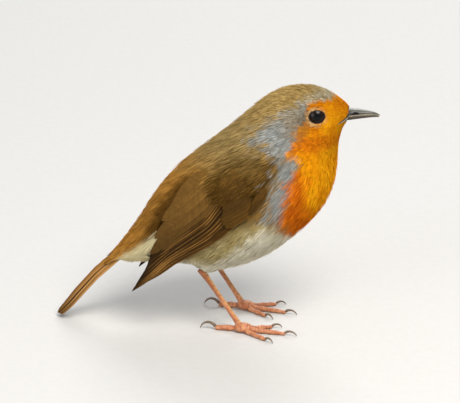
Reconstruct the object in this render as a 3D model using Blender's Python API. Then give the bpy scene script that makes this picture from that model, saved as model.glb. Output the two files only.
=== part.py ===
"""European robin (Erithacus rubecula), life size, standing with its wings drooped and its tail tip down.

The bird faces +X, its left side is +Y and it stands on Z = 0. Sizes below are in millimetres, measured
from the point on the ground between its feet; the empty that carries every piece moves the middle of
the whole bird over the origin.
"""

import math

import bmesh
import bpy
import numpy as np
from mathutils import Matrix, Vector
from mathutils.bvhtree import BVHTree

MM = 0.001
GAP = 0.3  # clearance between neighbouring pieces
RIGHT, LEFT = -1, 1
SIDES = {"right": RIGHT, "left": LEFT}

BILL_TIP_X = 49.25
TAIL_TIP_X = -68.8

# Cross sections of head, neck and trunk, from the bill to the tips of the tail coverts: the place on the
# back's outline (x, z), the place on the throat's or belly's outline (x, z), and half the width there.
BODY_SECTIONS = (
    (39.2, 82.8, 38.2, 78.6, 2.8),  # base of the bill
    (36.8, 85.2, 36.8, 77.4, 4.7),  # forehead to chin
    (33.4, 87.6, 35.8, 75.3, 7.0),  # lores
    (28.5, 90.2, 35.0, 72.2, 9.1),  # in front of the eyes
    (22.0, 91.4, 34.5, 68.8, 11.0),  # crown
    (14.8, 90.4, 34.4, 65.0, 12.8),  # ear coverts
    (7.2, 86.5, 34.3, 61.0, 14.5),  # nape
    (0.3, 80.3, 33.7, 56.0, 16.8),  # neck
    (-7.5, 73.1, 31.8, 50.0, 19.6),  # shoulders
    (-15.3, 67.0, 28.0, 43.7, 21.6),  # upper breast
    (-22.6, 60.8, 21.9, 37.3, 22.3),  # breast
    (-28.6, 54.2, 14.0, 30.5, 22.0),  # flanks
    (-33.2, 48.0, 5.0, 25.0, 20.2),  # belly
    (-36.9, 41.8, -4.5, 22.0, 17.2),  # thighs
    (-40.5, 36.7, -14.5, 22.4, 13.8),  # vent
    (-44.3, 32.3, -24.5, 23.8, 10.8),  # rump
    (-47.4, 28.6, -35.5, 23.6, 8.2),  # upper tail coverts
    (-50.2, 25.4, -43.2, 21.0, 6.9),  # under tail coverts
    (-52.0, 23.4, -47.2, 19.6, 6.3),  # tips of the coverts
)
HEAD_END, NECK_END = 5.6, 7.6  # where the thin cuts fall, counted in sections
CUT = 0.012  # half the width of a cut, counted in sections
BODY_SIDES = 28
ROUNDNESS = 0.92  # 1 for elliptic sections, less for fuller ones

EYE_CENTRE = (26.9, 6.0, 82.6)  # x, distance from the middle plane, z
EYE_RADIUS = 3.9
ORBIT_RADIUS = 6.4  # reach of the shallow dish of short feathers around the eye
ORBIT_DEPTH = 1.9

# Cross sections of the bill from the gape to the tip: x, height of the gape line, height of the
# culmen above it, depth of the lower mandible below it, half the width.
BILL_SECTIONS = (
    (35.0, 79.9, 2.4, 1.2, 2.6),
    (38.4, 80.4, 2.4, 1.35, 2.35),
    (41.5, 80.7, 1.95, 1.2, 1.85),
    (44.5, 80.8, 1.45, 0.9, 1.35),
    (47.2, 80.7, 0.9, 0.5, 0.8),
    (48.8, 80.4, 0.4, 0.2, 0.35),
)
BILL_SIDES = 10
BILL_STEPS = 9
BILL_ARCH = 0.8  # 1 for an elliptic top, less for a fuller one
BILL_TIP_SHARE = 0.45  # size of the blunt tip against the last cross section
BILL_TIP_REACH = {True: 0.45, False: 0.15}  # the upper mandible's tip (True) reaches further
BILL_TIP_DROP = 0.1
NOSTRIL_CENTRE = (40.6, 1.75, 81.6)
NOSTRIL_SIZE = (0.95, 0.6, 0.38)

# Edges of the folded wing's three groups of feathers, seen from the side: (x, z) from front to rear.
# steps_along and steps_across are how many feather edges show as small steps.
WING_GROUPS = {
    "wing_coverts": {
        "lower": ((15.3, 69.2), (12.6, 62.6), (8.6, 55.2), (3.0, 48.5), (-4.3, 42.2)),
        "upper": ((10.6, 73.8), (1.2, 69.6), (-7.0, 65.4), (-13.0, 61.4), (-17.2, 57.6)),
        "thickness": 1.9,
        "steps_along": 4,
        "steps_across": 0,
    },
    "wing_secondaries": {
        "lower": ((-6.0, 43.9), (-13.8, 38.6), (-21.6, 33.4), (-28.4, 29.0), (-33.6, 26.6)),
        "upper": ((-17.7, 56.9), (-22.2, 51.6), (-26.4, 45.8), (-30.6, 36.6), (-34.0, 27.6)),
        "thickness": 1.5,
        "steps_along": 0,
        "steps_across": 6,
    },
    "wing_primaries": {
        "lower": ((-4.9, 41.6), (-14.4, 34.6), (-23.4, 27.4), (-32.0, 20.4), (-39.8, 14.4)),
        "upper": ((-5.7, 43.3), (-13.5, 38.0), (-21.3, 32.8), (-28.1, 28.4), (-33.3, 26.0), (-39.4, 15.2)),
        "thickness": 1.3,
        "steps_along": 0,
        "steps_across": 5,
    },
}
WING_EDGE = 0.6  # thickness at a wing's rim
WING_STEP = 0.3  # height of one feather's edge over the next
WING_TIP_SPREAD = 12.5  # distance of a wing tip from the middle plane
WING_BASE_SPREAD = 19.0  # distance at which the hind edge leaves the body
WING_LIFT_LENGTH = 5.0  # how gently the wing leaves the body
WING_CLEARANCE = 0.45  # between a wing's inner side and the body
WING_THINNING = 0.45  # share of its thickness that a wing loses towards its tip
WING_FRONT = 0.2  # share of the coverts' length over which they thicken from their front edge
WING_EDGE_SHARE = 0.03  # half the width of a step between two feathers, as a share of a feather
WING_PLAIN_ALONG, WING_PLAIN_ACROSS = 10, 8  # rows of points where a group has no steps

# Tail: points of its top ridge (x, z), its half widths and its thickness there.
TAIL_RIDGE = (
    (-38.2, 33.6, 4.0, 2.2),
    (-46.9, 26.8, 4.9, 2.4),
    (-54.9, 19.4, 5.9, 2.3),
    (-62.1, 10.9, 6.9, 1.9),
    (-69.2, 1.8, 7.6, 1.3),
)
TAIL_ARCH = 2.0  # how far the outer feathers lie below the middle pair
TAIL_FEATHERS = 6  # on each side
TAIL_STEP = 0.22
TAIL_NOTCH = 1.6  # how far the middle pair falls short of the longest ones
TAIL_NOTCH_START = 0.9  # share of the length from which the middle pair falls short
TAIL_EDGE_SHARE = 0.06  # half the width of a step between two feathers, as a share of a feather
TAIL_RIM = 0.7  # thickness at the tail's two sides
TAIL_MIDDLE_LOSS = 0.6  # how much less than its full thickness the tail has beyond the rim's
TAIL_UNDER_SIDES = 10
TAIL_STEPS = 7
TAIL_CLEARANCE = 0.35  # between the tail and the room cut for it in the trunk

HEEL = (-14.8, 11.2, 24.3)
ANKLE = {"right": (-0.3, 11.2, 2.3), "left": (-0.9, 11.2, 2.3)}
FOOT_YAW = {"right": -9.0, "left": -14.0}  # degrees, turned towards the bird's right
TARSUS_RADII = (1.5, 1.05, 0.92, 0.9, 0.95, 1.2)
THIGH_POINTS = ((-5.5, 11.0, 29.0, 4.6), (-10.3, 11.1, 26.4, 3.7), (-14.8, 11.2, 24.6, 2.6))
PALM_SIZE = (3.5, 2.5, 1.9)
PALM_FORWARD = 1.1
PALM_LIFT = 0.85  # height of the palm's middle, as a share of its own half height
# Toe: heading in degrees from the foot's own axis (outwards positive), length, radius, number of
# joints, radius of the claw's arc, degrees above level at which the claw leaves the toe.
TOES = {
    "hind": (180.0, 8.0, 1.05, 2, 2.6, 62.0),
    "inner": (-27.0, 10.8, 0.82, 3, 2.0, 45.0),
    "middle": (0.0, 15.6, 0.88, 4, 2.3, 45.0),
    "outer": (32.0, 11.8, 0.82, 4, 1.9, 45.0),
}
TOE_ROOT = 1.2  # distance of a toe's root from the ankle
TOE_SWELL = 0.09  # how much thicker a toe is at its joints
TOE_TAPER = (1.08, 0.86)  # a toe's thickness at its root and at its claw, against its radius
TOE_END = 0.8
TOE_HEIGHT = 0.9  # height of a toe's middle line, as a share of its thickness there
TOE_ROOT_LIFT = 0.25
CLAW_TIP_HEIGHT = 0.12
CLAW_TIP_RADIUS = 0.12
CLAW_BASE_SHARE = 0.6  # a claw's radius against its toe's
CLAW_BASE_LIFT = 0.2  # height of a claw's base over the toe's middle line
CLAW_STEPS = 6
CLAW_TAPER = 0.8

COLOURS = {
    "olive_feather": ((0.26, 0.155, 0.06), 0.85),
    "orange_feather": ((0.78, 0.22, 0.02), 0.85),
    "flight_feather": ((0.13, 0.07, 0.03), 0.7),
    "tail_feather": ((0.25, 0.115, 0.035), 0.7),
    "white_feather": ((0.62, 0.57, 0.44), 0.9),
    "bill_horn": ((0.1, 0.09, 0.085), 0.4),
    "eye_black": ((0.008, 0.006, 0.005), 0.08),
    "leg_scale": ((0.42, 0.15, 0.06), 0.55),
    "claw_horn": ((0.2, 0.13, 0.08), 0.4),
}


def make_material(name):
    colour, roughness = COLOURS[name]
    material = bpy.data.materials.new(name)
    material.use_nodes = True
    shader = material.node_tree.nodes["Principled BSDF"]
    shader.inputs["Base Color"].default_value = (*colour, 1.0)
    shader.inputs["Roughness"].default_value = roughness
    shader.inputs["Metallic"].default_value = 0.0
    return material


def clear_scene():
    for obj in list(bpy.data.objects):
        bpy.data.objects.remove(obj, do_unlink=True)


class Model:
    """The collections, the empty that carries every piece, and the materials."""

    def __init__(self):
        self.pieces = bpy.data.collections.new("robin")
        self.cutters = bpy.data.collections.new("cutters")
        for collection in (self.pieces, self.cutters):
            bpy.context.scene.collection.children.link(collection)
        self.root = bpy.data.objects.new("robin", None)
        self.pieces.objects.link(self.root)
        self.root.location.x = -0.5 * (BILL_TIP_X + TAIL_TIP_X) * MM
        self.materials = {name: make_material(name) for name in COLOURS}

    def add(self, name, data, material):
        """A piece of the bird with this mesh or curve."""
        obj = bpy.data.objects.new(name, data)
        self.pieces.objects.link(obj)
        obj.parent = self.root
        data.materials.append(self.materials[material])
        return obj

    def add_cutter(self, name, mesh):
        obj = bpy.data.objects.new(name, mesh)
        self.cutters.objects.link(obj)
        obj.parent = self.root
        obj.hide_render = True
        obj.display_type = "WIRE"
        return obj


def cut(obj, cutter):
    """Takes the cutter's space out of the object."""
    modifier = obj.modifiers.new("cut_" + cutter.name, "BOOLEAN")
    modifier.operation = "DIFFERENCE"
    modifier.solver = "EXACT"
    modifier.object = cutter


def curve_through(rows, t):
    """The row at place t, counted in rows, on a Catmull-Rom curve through the rows."""
    rows = np.asarray(rows, float)
    last = len(rows) - 1
    i = min(int(t), last - 1)
    f = t - i
    before, a, b, after = (rows[min(max(k, 0), last)] for k in (i - 1, i, i + 1, i + 2))
    slope_a, slope_b = (b - before) / 2, (after - a) / 2
    if i == 0:
        slope_a = b - a
    if i + 1 == last:
        slope_b = b - a
    return (
        (2 * f**3 - 3 * f**2 + 1) * a
        + (f**3 - 2 * f**2 + f) * slope_a
        + (3 * f**2 - 2 * f**3) * b
        + (f**3 - f**2) * slope_b
    )


def finish_mesh(name, bm, smooth_angle=40.0):
    bmesh.ops.recalc_face_normals(bm, faces=bm.faces)
    mesh = bpy.data.meshes.new(name)
    bm.to_mesh(mesh)
    bm.free()
    mesh.shade_smooth()
    mesh.set_sharp_from_angle(angle=math.radians(smooth_angle))
    return mesh


def loft_mesh(name, rings):
    """A closed solid through rings of points, in millimetres, with a flat face at each end."""
    bm = bmesh.new()
    loops = [[bm.verts.new(Vector(p) * MM) for p in ring] for ring in rings]
    for first, second in zip(loops, loops[1:]):
        for k in range(len(first)):
            bm.faces.new((first[k - 1], first[k], second[k], second[k - 1]))
    bm.faces.new(loops[0])
    bm.faces.new(loops[-1])
    return finish_mesh(name, bm)


def shell_mesh(name, outer, inner):
    """A closed shell between two grids of points, in millimetres, that have the same rows."""
    bm = bmesh.new()
    top = [[bm.verts.new(Vector(p) * MM) for p in row] for row in outer]
    under = [[bm.verts.new(Vector(p) * MM) for p in row] for row in inner]
    rows, columns = len(top), len(top[0])
    for grid in (top, under):
        for i in range(rows - 1):
            for k in range(columns - 1):
                bm.faces.new((grid[i][k], grid[i][k + 1], grid[i + 1][k + 1], grid[i + 1][k]))
    rim = [(0, k) for k in range(columns)]
    rim += [(i, columns - 1) for i in range(1, rows)]
    rim += [(rows - 1, k) for k in reversed(range(columns - 1))]
    rim += [(i, 0) for i in reversed(range(1, rows - 1))]
    for (i, k), (m, n) in zip(rim, rim[1:] + rim[:1]):
        bm.faces.new((top[i][k], top[m][n], under[m][n], under[i][k]))
    return finish_mesh(name, bm)


def fuller(x):
    """Turns the cosine or sine of an ellipse into that of a slightly squarer oval."""
    return math.copysign(abs(x) ** ROUNDNESS, x)


def body_ring(place, grow=0.0):
    """The body's outline at a place counted in sections, from the back down the right side."""
    back_x, back_z, front_x, front_z, half_width = curve_through(BODY_SECTIONS, place)
    middle = Vector(((back_x + front_x) / 2, 0, (back_z + front_z) / 2))
    to_back = Vector((back_x - front_x, 0, back_z - front_z)) / 2
    radius = to_back.length
    to_back.normalize()
    ring = []
    for k in range(BODY_SIDES):
        turn = 2 * math.pi * k / BODY_SIDES
        along = to_back * (radius + grow) * fuller(math.cos(turn))
        across = Vector((0, -(half_width + grow) * fuller(math.sin(turn)), 0))
        point = middle + along + across
        reach = math.hypot(point.x - EYE_CENTRE[0], point.z - EYE_CENTRE[2]) / ORBIT_RADIUS
        if reach < 1 and point.y:
            point.y -= math.copysign(ORBIT_DEPTH * (1 - reach * reach) ** 2, point.y)
        ring.append(point)
    return ring


def body_mesh(name, start, end, per_section=1.5, grow=0.0):
    steps = max(2, round((end - start) * per_section))
    return loft_mesh(name, [body_ring(start + (end - start) * i / steps, grow) for i in range(steps + 1)])


def ellipsoid_mesh(name, centre, size, segments=20, rings=12, turn=0.0):
    bm = bmesh.new()
    bmesh.ops.create_uvsphere(bm, u_segments=segments, v_segments=rings, radius=MM)
    stretch = Matrix.Diagonal((*size, 1.0))
    place = Matrix.Translation(Vector(centre) * MM) @ Matrix.Rotation(turn, 4, "Z")
    bmesh.ops.transform(bm, matrix=place @ stretch, verts=bm.verts)
    return finish_mesh(name, bm)


def on_side(point, side):
    """A point given with its distance from the middle plane, on one side of the bird."""
    return Vector((point[0], side * point[1], point[2]))


def build_body(model):
    last = len(BODY_SECTIONS) - 1
    head = model.add("head", body_mesh("head", 0, HEAD_END - CUT, 2.2), "orange_feather")
    model.add("neck", body_mesh("neck", HEAD_END + CUT, NECK_END - CUT, 1.5), "orange_feather")
    trunk_mesh = body_mesh("trunk", NECK_END + CUT, last, 1.25)
    return head, model.add("trunk", trunk_mesh, "olive_feather")


def bill_ring(section, upper, grow):
    """Half of the bill's outline above or below the gape line: a flat side and an arch."""
    x, gape, rise, depth, half_width = section
    height = rise + 2 * grow if upper else -(depth + 2 * grow)
    half_width += grow
    floor = gape + (GAP / 2 if upper else -GAP / 2) - (grow if upper else -grow)
    ring = [Vector((x, -half_width, floor)), Vector((x, half_width, floor))]
    for k in range(1, BILL_SIDES):
        turn = math.pi * k / BILL_SIDES
        arch = math.sin(turn) ** BILL_ARCH
        ring.append(Vector((x, half_width * math.cos(turn), floor + height * arch)))
    return ring


def bill_mesh(name, upper, grow=0.0):
    """One mandible, or with grow the room that it takes out of the head."""
    tip = len(BILL_SECTIONS) - 1
    places = [tip * i / BILL_STEPS for i in range(BILL_STEPS + 1)]
    rings = [bill_ring(curve_through(BILL_SECTIONS, place), upper, grow) for place in places]
    if grow:
        rings[0] = [p - Vector((grow, 0, 0)) for p in rings[0]]
    end = sum(rings[-1], Vector()) / len(rings[-1])
    beyond = Vector((BILL_TIP_REACH[upper], 0, -BILL_TIP_DROP))
    rings.append([end + (p - end) * BILL_TIP_SHARE + beyond for p in rings[-1]])
    return loft_mesh(name, rings)


def build_bill(model, head):
    for name, upper in (("bill_upper", True), ("bill_lower", False)):
        bill = model.add(name, bill_mesh(name, upper), "bill_horn")
        cut(head, model.add_cutter(name + "_room", bill_mesh(name + "_room", upper, GAP)))
        if upper:
            for side_name, side in SIDES.items():
                hole = "nostril_" + side_name
                mesh = ellipsoid_mesh(hole, on_side(NOSTRIL_CENTRE, side), NOSTRIL_SIZE, 10, 6)
                cut(bill, model.add_cutter(hole, mesh))


def build_eyes(model, head):
    for side_name, side in SIDES.items():
        centre = on_side(EYE_CENTRE, side)
        ball = ellipsoid_mesh("eye_" + side_name, centre, (EYE_RADIUS,) * 3, 14, 10)
        model.add("eye_" + side_name, ball, "eye_black")
        room = ellipsoid_mesh("socket_" + side_name, centre, (EYE_RADIUS + GAP,) * 3, 14, 10)
        cut(head, model.add_cutter("socket_" + side_name, room))


def body_surface():
    """The whole body's outer surface as a tree for rays, in millimetres."""
    last = len(BODY_SECTIONS) - 1
    steps = last * 4
    rings = [body_ring(last * i / steps) for i in range(steps + 1)]
    points = [p for ring in rings for p in ring]
    faces = []
    for i in range(steps):
        for k in range(BODY_SIDES):
            m = (k + 1) % BODY_SIDES
            row, after = i * BODY_SIDES, (i + 1) * BODY_SIDES
            faces.append((row + k, row + m, after + m, after + k))
    return BVHTree.FromPolygons(points, faces)


def smooth_step(x):
    x = min(max(x, 0.0), 1.0)
    return x * x * (3 - 2 * x)


def wing_base(surface, side, x, z, u, is_coverts):
    """Where the wing's inner side starts from at (x, z), and which way is out. Over the body that is
    the body's own surface; behind it the feathers run on free, drawing in towards the wing tip."""
    outward = Vector((0, side, 0))
    hit, normal, _, _ = surface.ray_cast(Vector((x, side * 60.0, z)), -outward)
    free_y = WING_BASE_SPREAD + (WING_TIP_SPREAD - WING_BASE_SPREAD) * u**1.3
    body_y = abs(hit.y) if hit else 0.0
    if is_coverts:
        return hit, normal if normal.y * side > 0 else -normal
    lift = smooth_step((free_y - body_y) / WING_LIFT_LENGTH)
    if not hit:
        return Vector((x, side * free_y, z)), outward
    normal = normal if normal.y * side > 0 else -normal
    y = body_y + (free_y - body_y) * lift if free_y > body_y else body_y
    return Vector((x, side * y, z)), normal.lerp(outward, lift).normalized()


def feather_step(place, count):
    """Height, from 0 to 1, of overlapping feathers: each rises slowly and ends in a sharp edge."""
    return (place * count) % 1.0 if count and 0 < place < 1 else 0.0


def step_places(count, plain):
    """Places from 0 to 1 with a close pair at each feather's edge, or evenly spaced ones."""
    if not count:
        return [k / plain for k in range(plain + 1)]
    places = [0.0]
    for k in range(1, count):
        places += [(k - WING_EDGE_SHARE) / count, (k + WING_EDGE_SHARE) / count]
    return places + [1.0]


def wing_mesh(name, surface, side, group):
    """A group of wing feathers as a shell over the body, with small steps at the feathers' edges."""
    is_coverts = name.startswith("wing_coverts")
    along = step_places(group["steps_along"], WING_PLAIN_ALONG)
    if group["steps_along"]:
        middles = [(k + 0.5) / group["steps_along"] for k in range(group["steps_along"])]
        along = sorted(set(along + middles))
    across = step_places(group["steps_across"], WING_PLAIN_ACROSS)
    last = len(group["lower"]) - 1
    outer = []
    inner = []
    for u in along:
        low = curve_through(group["lower"], u * last)
        high = curve_through(group["upper"], u * last)
        outer_row = []
        inner_row = []
        for v in across:
            x, z = low + (high - low) * v
            base, out = wing_base(surface, side, x, z, u, is_coverts)
            body = 1 - (2 * v - 1) ** 4
            if is_coverts:
                body *= smooth_step(u / WING_FRONT)
            thickness = WING_EDGE + (group["thickness"] - WING_EDGE) * body * (1 - WING_THINNING * u)
            thickness += WING_STEP * feather_step(u, group["steps_along"])
            thickness += WING_STEP * feather_step(1 - v, group["steps_across"])
            inner_row.append(base + out * WING_CLEARANCE)
            outer_row.append(base + out * (WING_CLEARANCE + thickness))
        outer.append(outer_row)
        inner.append(inner_row)
    return shell_mesh(name, outer, inner)


def build_wings(model):
    surface = body_surface()
    for side_name, side in SIDES.items():
        for group_name, group in WING_GROUPS.items():
            name = group_name + "_" + side_name
            material = "olive_feather" if group_name == "wing_coverts" else "flight_feather"
            model.add(name, wing_mesh(name, surface, side, group), material)


def tail_ring(place, grow=0.0):
    """Across the tail: overlapping feathers above, the middle pair on top, and a smooth underside."""
    last = len(TAIL_RIDGE) - 1
    x, z, half_width, thickness = curve_through(TAIL_RIDGE, place * last)
    near = 0.05
    ahead = curve_through(TAIL_RIDGE, min(place * last + near, last))
    behind = curve_through(TAIL_RIDGE, max(place * last - near, 0.0))
    run = Vector((ahead[0] - behind[0], 0, ahead[1] - behind[1])).normalized()
    up = Vector((run.z, 0, -run.x))
    half_width += grow
    edges = [0.0]
    for k in range(1, TAIL_FEATHERS):
        edges += [(k - TAIL_EDGE_SHARE) / TAIL_FEATHERS, (k + TAIL_EDGE_SHARE) / TAIL_FEATHERS]
    edges.append(1.0)
    notch = TAIL_NOTCH * smooth_step((place - TAIL_NOTCH_START) / (1 - TAIL_NOTCH_START))

    def point(y, down):
        arch = TAIL_ARCH * y * y + down
        back = notch * (1 - min(1.0, 2 * abs(y)))
        return Vector((x, half_width * y, z)) - up * arch - run * back

    def top(y):
        return point(y, (TAIL_STEP * (1 - abs(y) * TAIL_FEATHERS % 1.0) if abs(y) < 1 else 0) - grow)

    def under(y):
        return point(y, TAIL_RIM + (thickness - TAIL_MIDDLE_LOSS) * (1 - y * y) + grow)

    ring = [top(-y) for y in reversed(edges)] + [top(y) for y in edges[1:]]
    return ring + [under(1 - 2 * k / TAIL_UNDER_SIDES) for k in range(TAIL_UNDER_SIDES + 1)]


def clamp_to_ground(mesh):
    """Presses flat whatever would dip below the ground."""
    for vertex in mesh.vertices:
        vertex.co.z = max(vertex.co.z, 0.0)


def build_tail(model, trunk):
    places = [i / TAIL_STEPS for i in range(TAIL_STEPS + 1)]
    mesh = loft_mesh("tail", [tail_ring(place) for place in places])
    clamp_to_ground(mesh)
    model.add("tail", mesh, "tail_feather")
    room = loft_mesh("tail_room", [tail_ring(place, TAIL_CLEARANCE) for place in places])
    cut(trunk, model.add_cutter("tail_room", room))


def tube_mesh(name, points, sides_level=2):
    """A round tube through (x, y, z, radius) rows, in millimetres, as a mesh with closed ends."""
    curve = bpy.data.curves.new(name, "CURVE")
    curve.dimensions = "3D"
    curve.bevel_depth = MM
    curve.bevel_resolution = sides_level
    curve.use_fill_caps = True
    spline = curve.splines.new("POLY")
    spline.points.add(len(points) - 1)
    for target, (x, y, z, radius) in zip(spline.points, points):
        target.co = (x * MM, y * MM, z * MM, 1.0)
        target.radius = radius
    guide = bpy.data.objects.new(name, curve)
    bpy.context.scene.collection.objects.link(guide)
    bpy.context.view_layer.update()
    evaluated = guide.evaluated_get(bpy.context.evaluated_depsgraph_get())
    mesh = bpy.data.meshes.new_from_object(evaluated)
    bpy.data.objects.remove(guide)
    bm = bmesh.new()
    bm.from_mesh(mesh)
    bpy.data.meshes.remove(mesh)
    bmesh.ops.remove_doubles(bm, verts=bm.verts, dist=0.00001)
    return finish_mesh(name, bm)


def build_leg(model, side_name, trunk_room):
    """Feathered thigh, scaled tarsus, the pad under its end, four toes and their claws."""
    side = SIDES[side_name]
    ankle = on_side(ANKLE[side_name], side)
    yaw = math.radians(FOOT_YAW[side_name])

    thigh_rows = [curve_through(THIGH_POINTS, 2 * i / 8) for i in range(9)]
    thigh_rows = [(x, side * y, z, radius) for x, y, z, radius in thigh_rows]
    thigh = model.add("thigh_" + side_name, tube_mesh("thigh_" + side_name, thigh_rows, 3), "white_feather")
    cut(thigh, trunk_room)

    forward = Vector((math.cos(yaw), math.sin(yaw), 0))
    palm_centre = Vector((ankle.x, ankle.y, PALM_SIZE[2] * PALM_LIFT)) + forward * PALM_FORWARD
    palm_mesh = ellipsoid_mesh("foot_" + side_name, palm_centre, PALM_SIZE, 12, 8, yaw)
    clamp_to_ground(palm_mesh)
    model.add("foot_" + side_name, palm_mesh, "leg_scale")
    room_size = [size + GAP for size in PALM_SIZE]
    room_mesh = ellipsoid_mesh("foot_room_" + side_name, palm_centre, room_size, 12, 8, yaw)
    foot_room = model.add_cutter("foot_room_" + side_name, room_mesh)

    heel = on_side(HEEL, side)
    down = (ankle - heel).normalized()
    start = heel + down * GAP
    count = len(TARSUS_RADII)
    shank_rows = [
        (*start.lerp(ankle, i / (count - 1)), radius) for i, radius in enumerate(TARSUS_RADII)
    ]
    name = "tarsus_" + side_name
    tarsus = model.add(name, tube_mesh(name, shank_rows, 3), "leg_scale")
    room_rows = [(*(heel - down * 1.2), TARSUS_RADII[0] + GAP)]
    room_rows += [(x, y, z, radius + GAP) for x, y, z, radius in shank_rows[:2]]
    cut(thigh, model.add_cutter("shank_room_" + side_name, tube_mesh("shank_room", room_rows, 3)))
    cut(tarsus, foot_room)
    cut(tarsus, trunk_room)
    for toe_name in TOES:
        build_toe(model, side_name, toe_name, ankle, foot_room)


def claw_row_list(toe_end, out, toe_radius, arc, rise):
    """Points of a claw: an arc that leaves the toe upwards and comes down to the ground."""
    start_z = toe_end[2] + CLAW_BASE_LIFT
    base_radius = toe_radius * CLAW_BASE_SHARE
    fall = math.acos(math.cos(rise) - (start_z - CLAW_TIP_HEIGHT) / arc)
    base = Vector(toe_end[:3]) + out * (GAP + base_radius * math.sin(rise))
    rows = []
    for i in range(CLAW_STEPS + 1):
        f = i / CLAW_STEPS
        angle = rise - (rise + fall) * f
        place = base + out * arc * (math.sin(rise) - math.sin(angle))
        height = start_z + arc * (math.cos(angle) - math.cos(rise))
        radius = CLAW_TIP_RADIUS + (base_radius - CLAW_TIP_RADIUS) * (1 - f) ** CLAW_TAPER
        rows.append((place.x, place.y, height, radius))
    return rows


def build_toe(model, side_name, toe_name, ankle, foot_room):
    """One toe, flat where it meets the ground, swollen at its joints, and its claw."""
    heading, length, radius, joints, claw_arc, claw_rise = TOES[toe_name]
    turn = math.radians(FOOT_YAW[side_name] + SIDES[side_name] * heading)
    out = Vector((math.cos(turn), math.sin(turn), 0))
    root = Vector((ankle.x, ankle.y, 0)) + out * TOE_ROOT
    steps = 2 * joints + 1
    rows = []
    for i in range(steps + 1):
        f = i / steps
        swell = 1 + TOE_SWELL * math.cos(2 * math.pi * joints * f)
        taper = TOE_TAPER[0] + (TOE_TAPER[1] - TOE_TAPER[0]) * f
        end = TOE_END if i == steps else 1.0
        size = radius * swell * taper * end
        place = root + out * length * f
        rows.append((place.x, place.y, size * TOE_HEIGHT + TOE_ROOT_LIFT * (1 - f), size))
    name = f"toe_{toe_name}_{side_name}"
    mesh = tube_mesh(name, rows)
    clamp_to_ground(mesh)
    toe = model.add(name, mesh, "leg_scale")
    cut(toe, foot_room)
    name = f"claw_{toe_name}_{side_name}"
    claw_rows = claw_row_list(rows[-1], out, radius, claw_arc, math.radians(claw_rise))
    model.add(name, tube_mesh(name, claw_rows, 1), "claw_horn")


def main():
    clear_scene()
    model = Model()
    head, trunk = build_body(model)
    build_bill(model, head)
    build_eyes(model, head)
    build_wings(model)
    build_tail(model, trunk)
    last = len(BODY_SECTIONS) - 1
    trunk_room = model.add_cutter("trunk_room", body_mesh("trunk_room", 0, last, 1.6, GAP + 0.15))
    for side_name in SIDES:
        build_leg(model, side_name, trunk_room)


main()
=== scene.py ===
"""A European robin, life size: skin, coat, wings, tail, eyes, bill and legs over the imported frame."""
import math
from itertools import product

import bpy
import numpy as np
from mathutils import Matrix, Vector
from mathutils.bvhtree import BVHTree


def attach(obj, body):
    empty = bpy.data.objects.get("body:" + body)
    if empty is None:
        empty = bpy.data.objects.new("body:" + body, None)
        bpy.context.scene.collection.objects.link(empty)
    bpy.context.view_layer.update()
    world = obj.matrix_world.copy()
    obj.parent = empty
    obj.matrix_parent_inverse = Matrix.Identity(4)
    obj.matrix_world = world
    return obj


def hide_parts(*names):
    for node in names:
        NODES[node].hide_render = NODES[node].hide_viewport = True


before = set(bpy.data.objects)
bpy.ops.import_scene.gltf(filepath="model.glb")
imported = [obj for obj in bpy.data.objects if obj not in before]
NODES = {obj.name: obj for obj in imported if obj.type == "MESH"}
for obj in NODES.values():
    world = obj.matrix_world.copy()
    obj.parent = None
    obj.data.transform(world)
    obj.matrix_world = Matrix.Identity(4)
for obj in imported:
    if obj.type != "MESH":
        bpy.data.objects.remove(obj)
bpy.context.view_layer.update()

MM = 0.001  # all lengths below are in millimetres, in the frame's axes: +X bill, +Y the bird's left, +Z up
SIDES = (("right", -1), ("left", 1))
rng = np.random.default_rng(11)

# ---- CAD nodes
FLESH = ("head", "neck", "trunk", "thigh_right", "thigh_left", "wing_coverts_right", "wing_coverts_left")
FLESH_BARE = FLESH[:5]  # the body without its wings
EYES = ("eye_right", "eye_left")
VANE_NODES = (
    "tail", "wing_secondaries_right", "wing_secondaries_left", "wing_primaries_right", "wing_primaries_left",
)
WING_NODES = ("wing_coverts_right", "wing_secondaries_right", "wing_primaries_right")
TOES = ("hind", "inner", "middle", "outer")

# ---- places on the body
EYE_CENTRE = np.array((36.4, 6.0, 82.15))
EYE_AXIS = np.array((0.12, 0.985, 0.1))
EYE_RADIUS = 3.9
EYE_BULGE = 0.02  # how far the clear front stands out, as a share of the radius
EYE_BULGE_WIDTH = 0.45  # the front's reach, in radians
EYE_OPENING = 2.6  # radius of the part of the eye that shows
EYE_LONG = 0.10  # by how much the opening is longer than round, and lower
EYE_REACH = 20.0  # only places this near the bill's base can lie at an eye
SOCKET_SLOPE = 0.3  # rise of the skin away from the eye's rim
SOCKET_LIFT = 0.25  # height of the face over the eyeball at the rim
SOCKET_EDGE = (7.0, 4.5)  # distances from the eye's axis where the socket begins and is whole
LID_THICK = 0.18
LID_VARY = 0.0375  # by how much it is thicker at the eye's corners, as a share
LID_WRINKLE = 0.08
LID_WRINKLES = 23
LID_LIFT = 0.08  # height of the eyelid's middle line over the eyeball
BILL_BASE = np.array((46.0, 0.0, 82.0))
BILL_BARE = 1.5  # no feathers grow this near the bill's base
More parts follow.
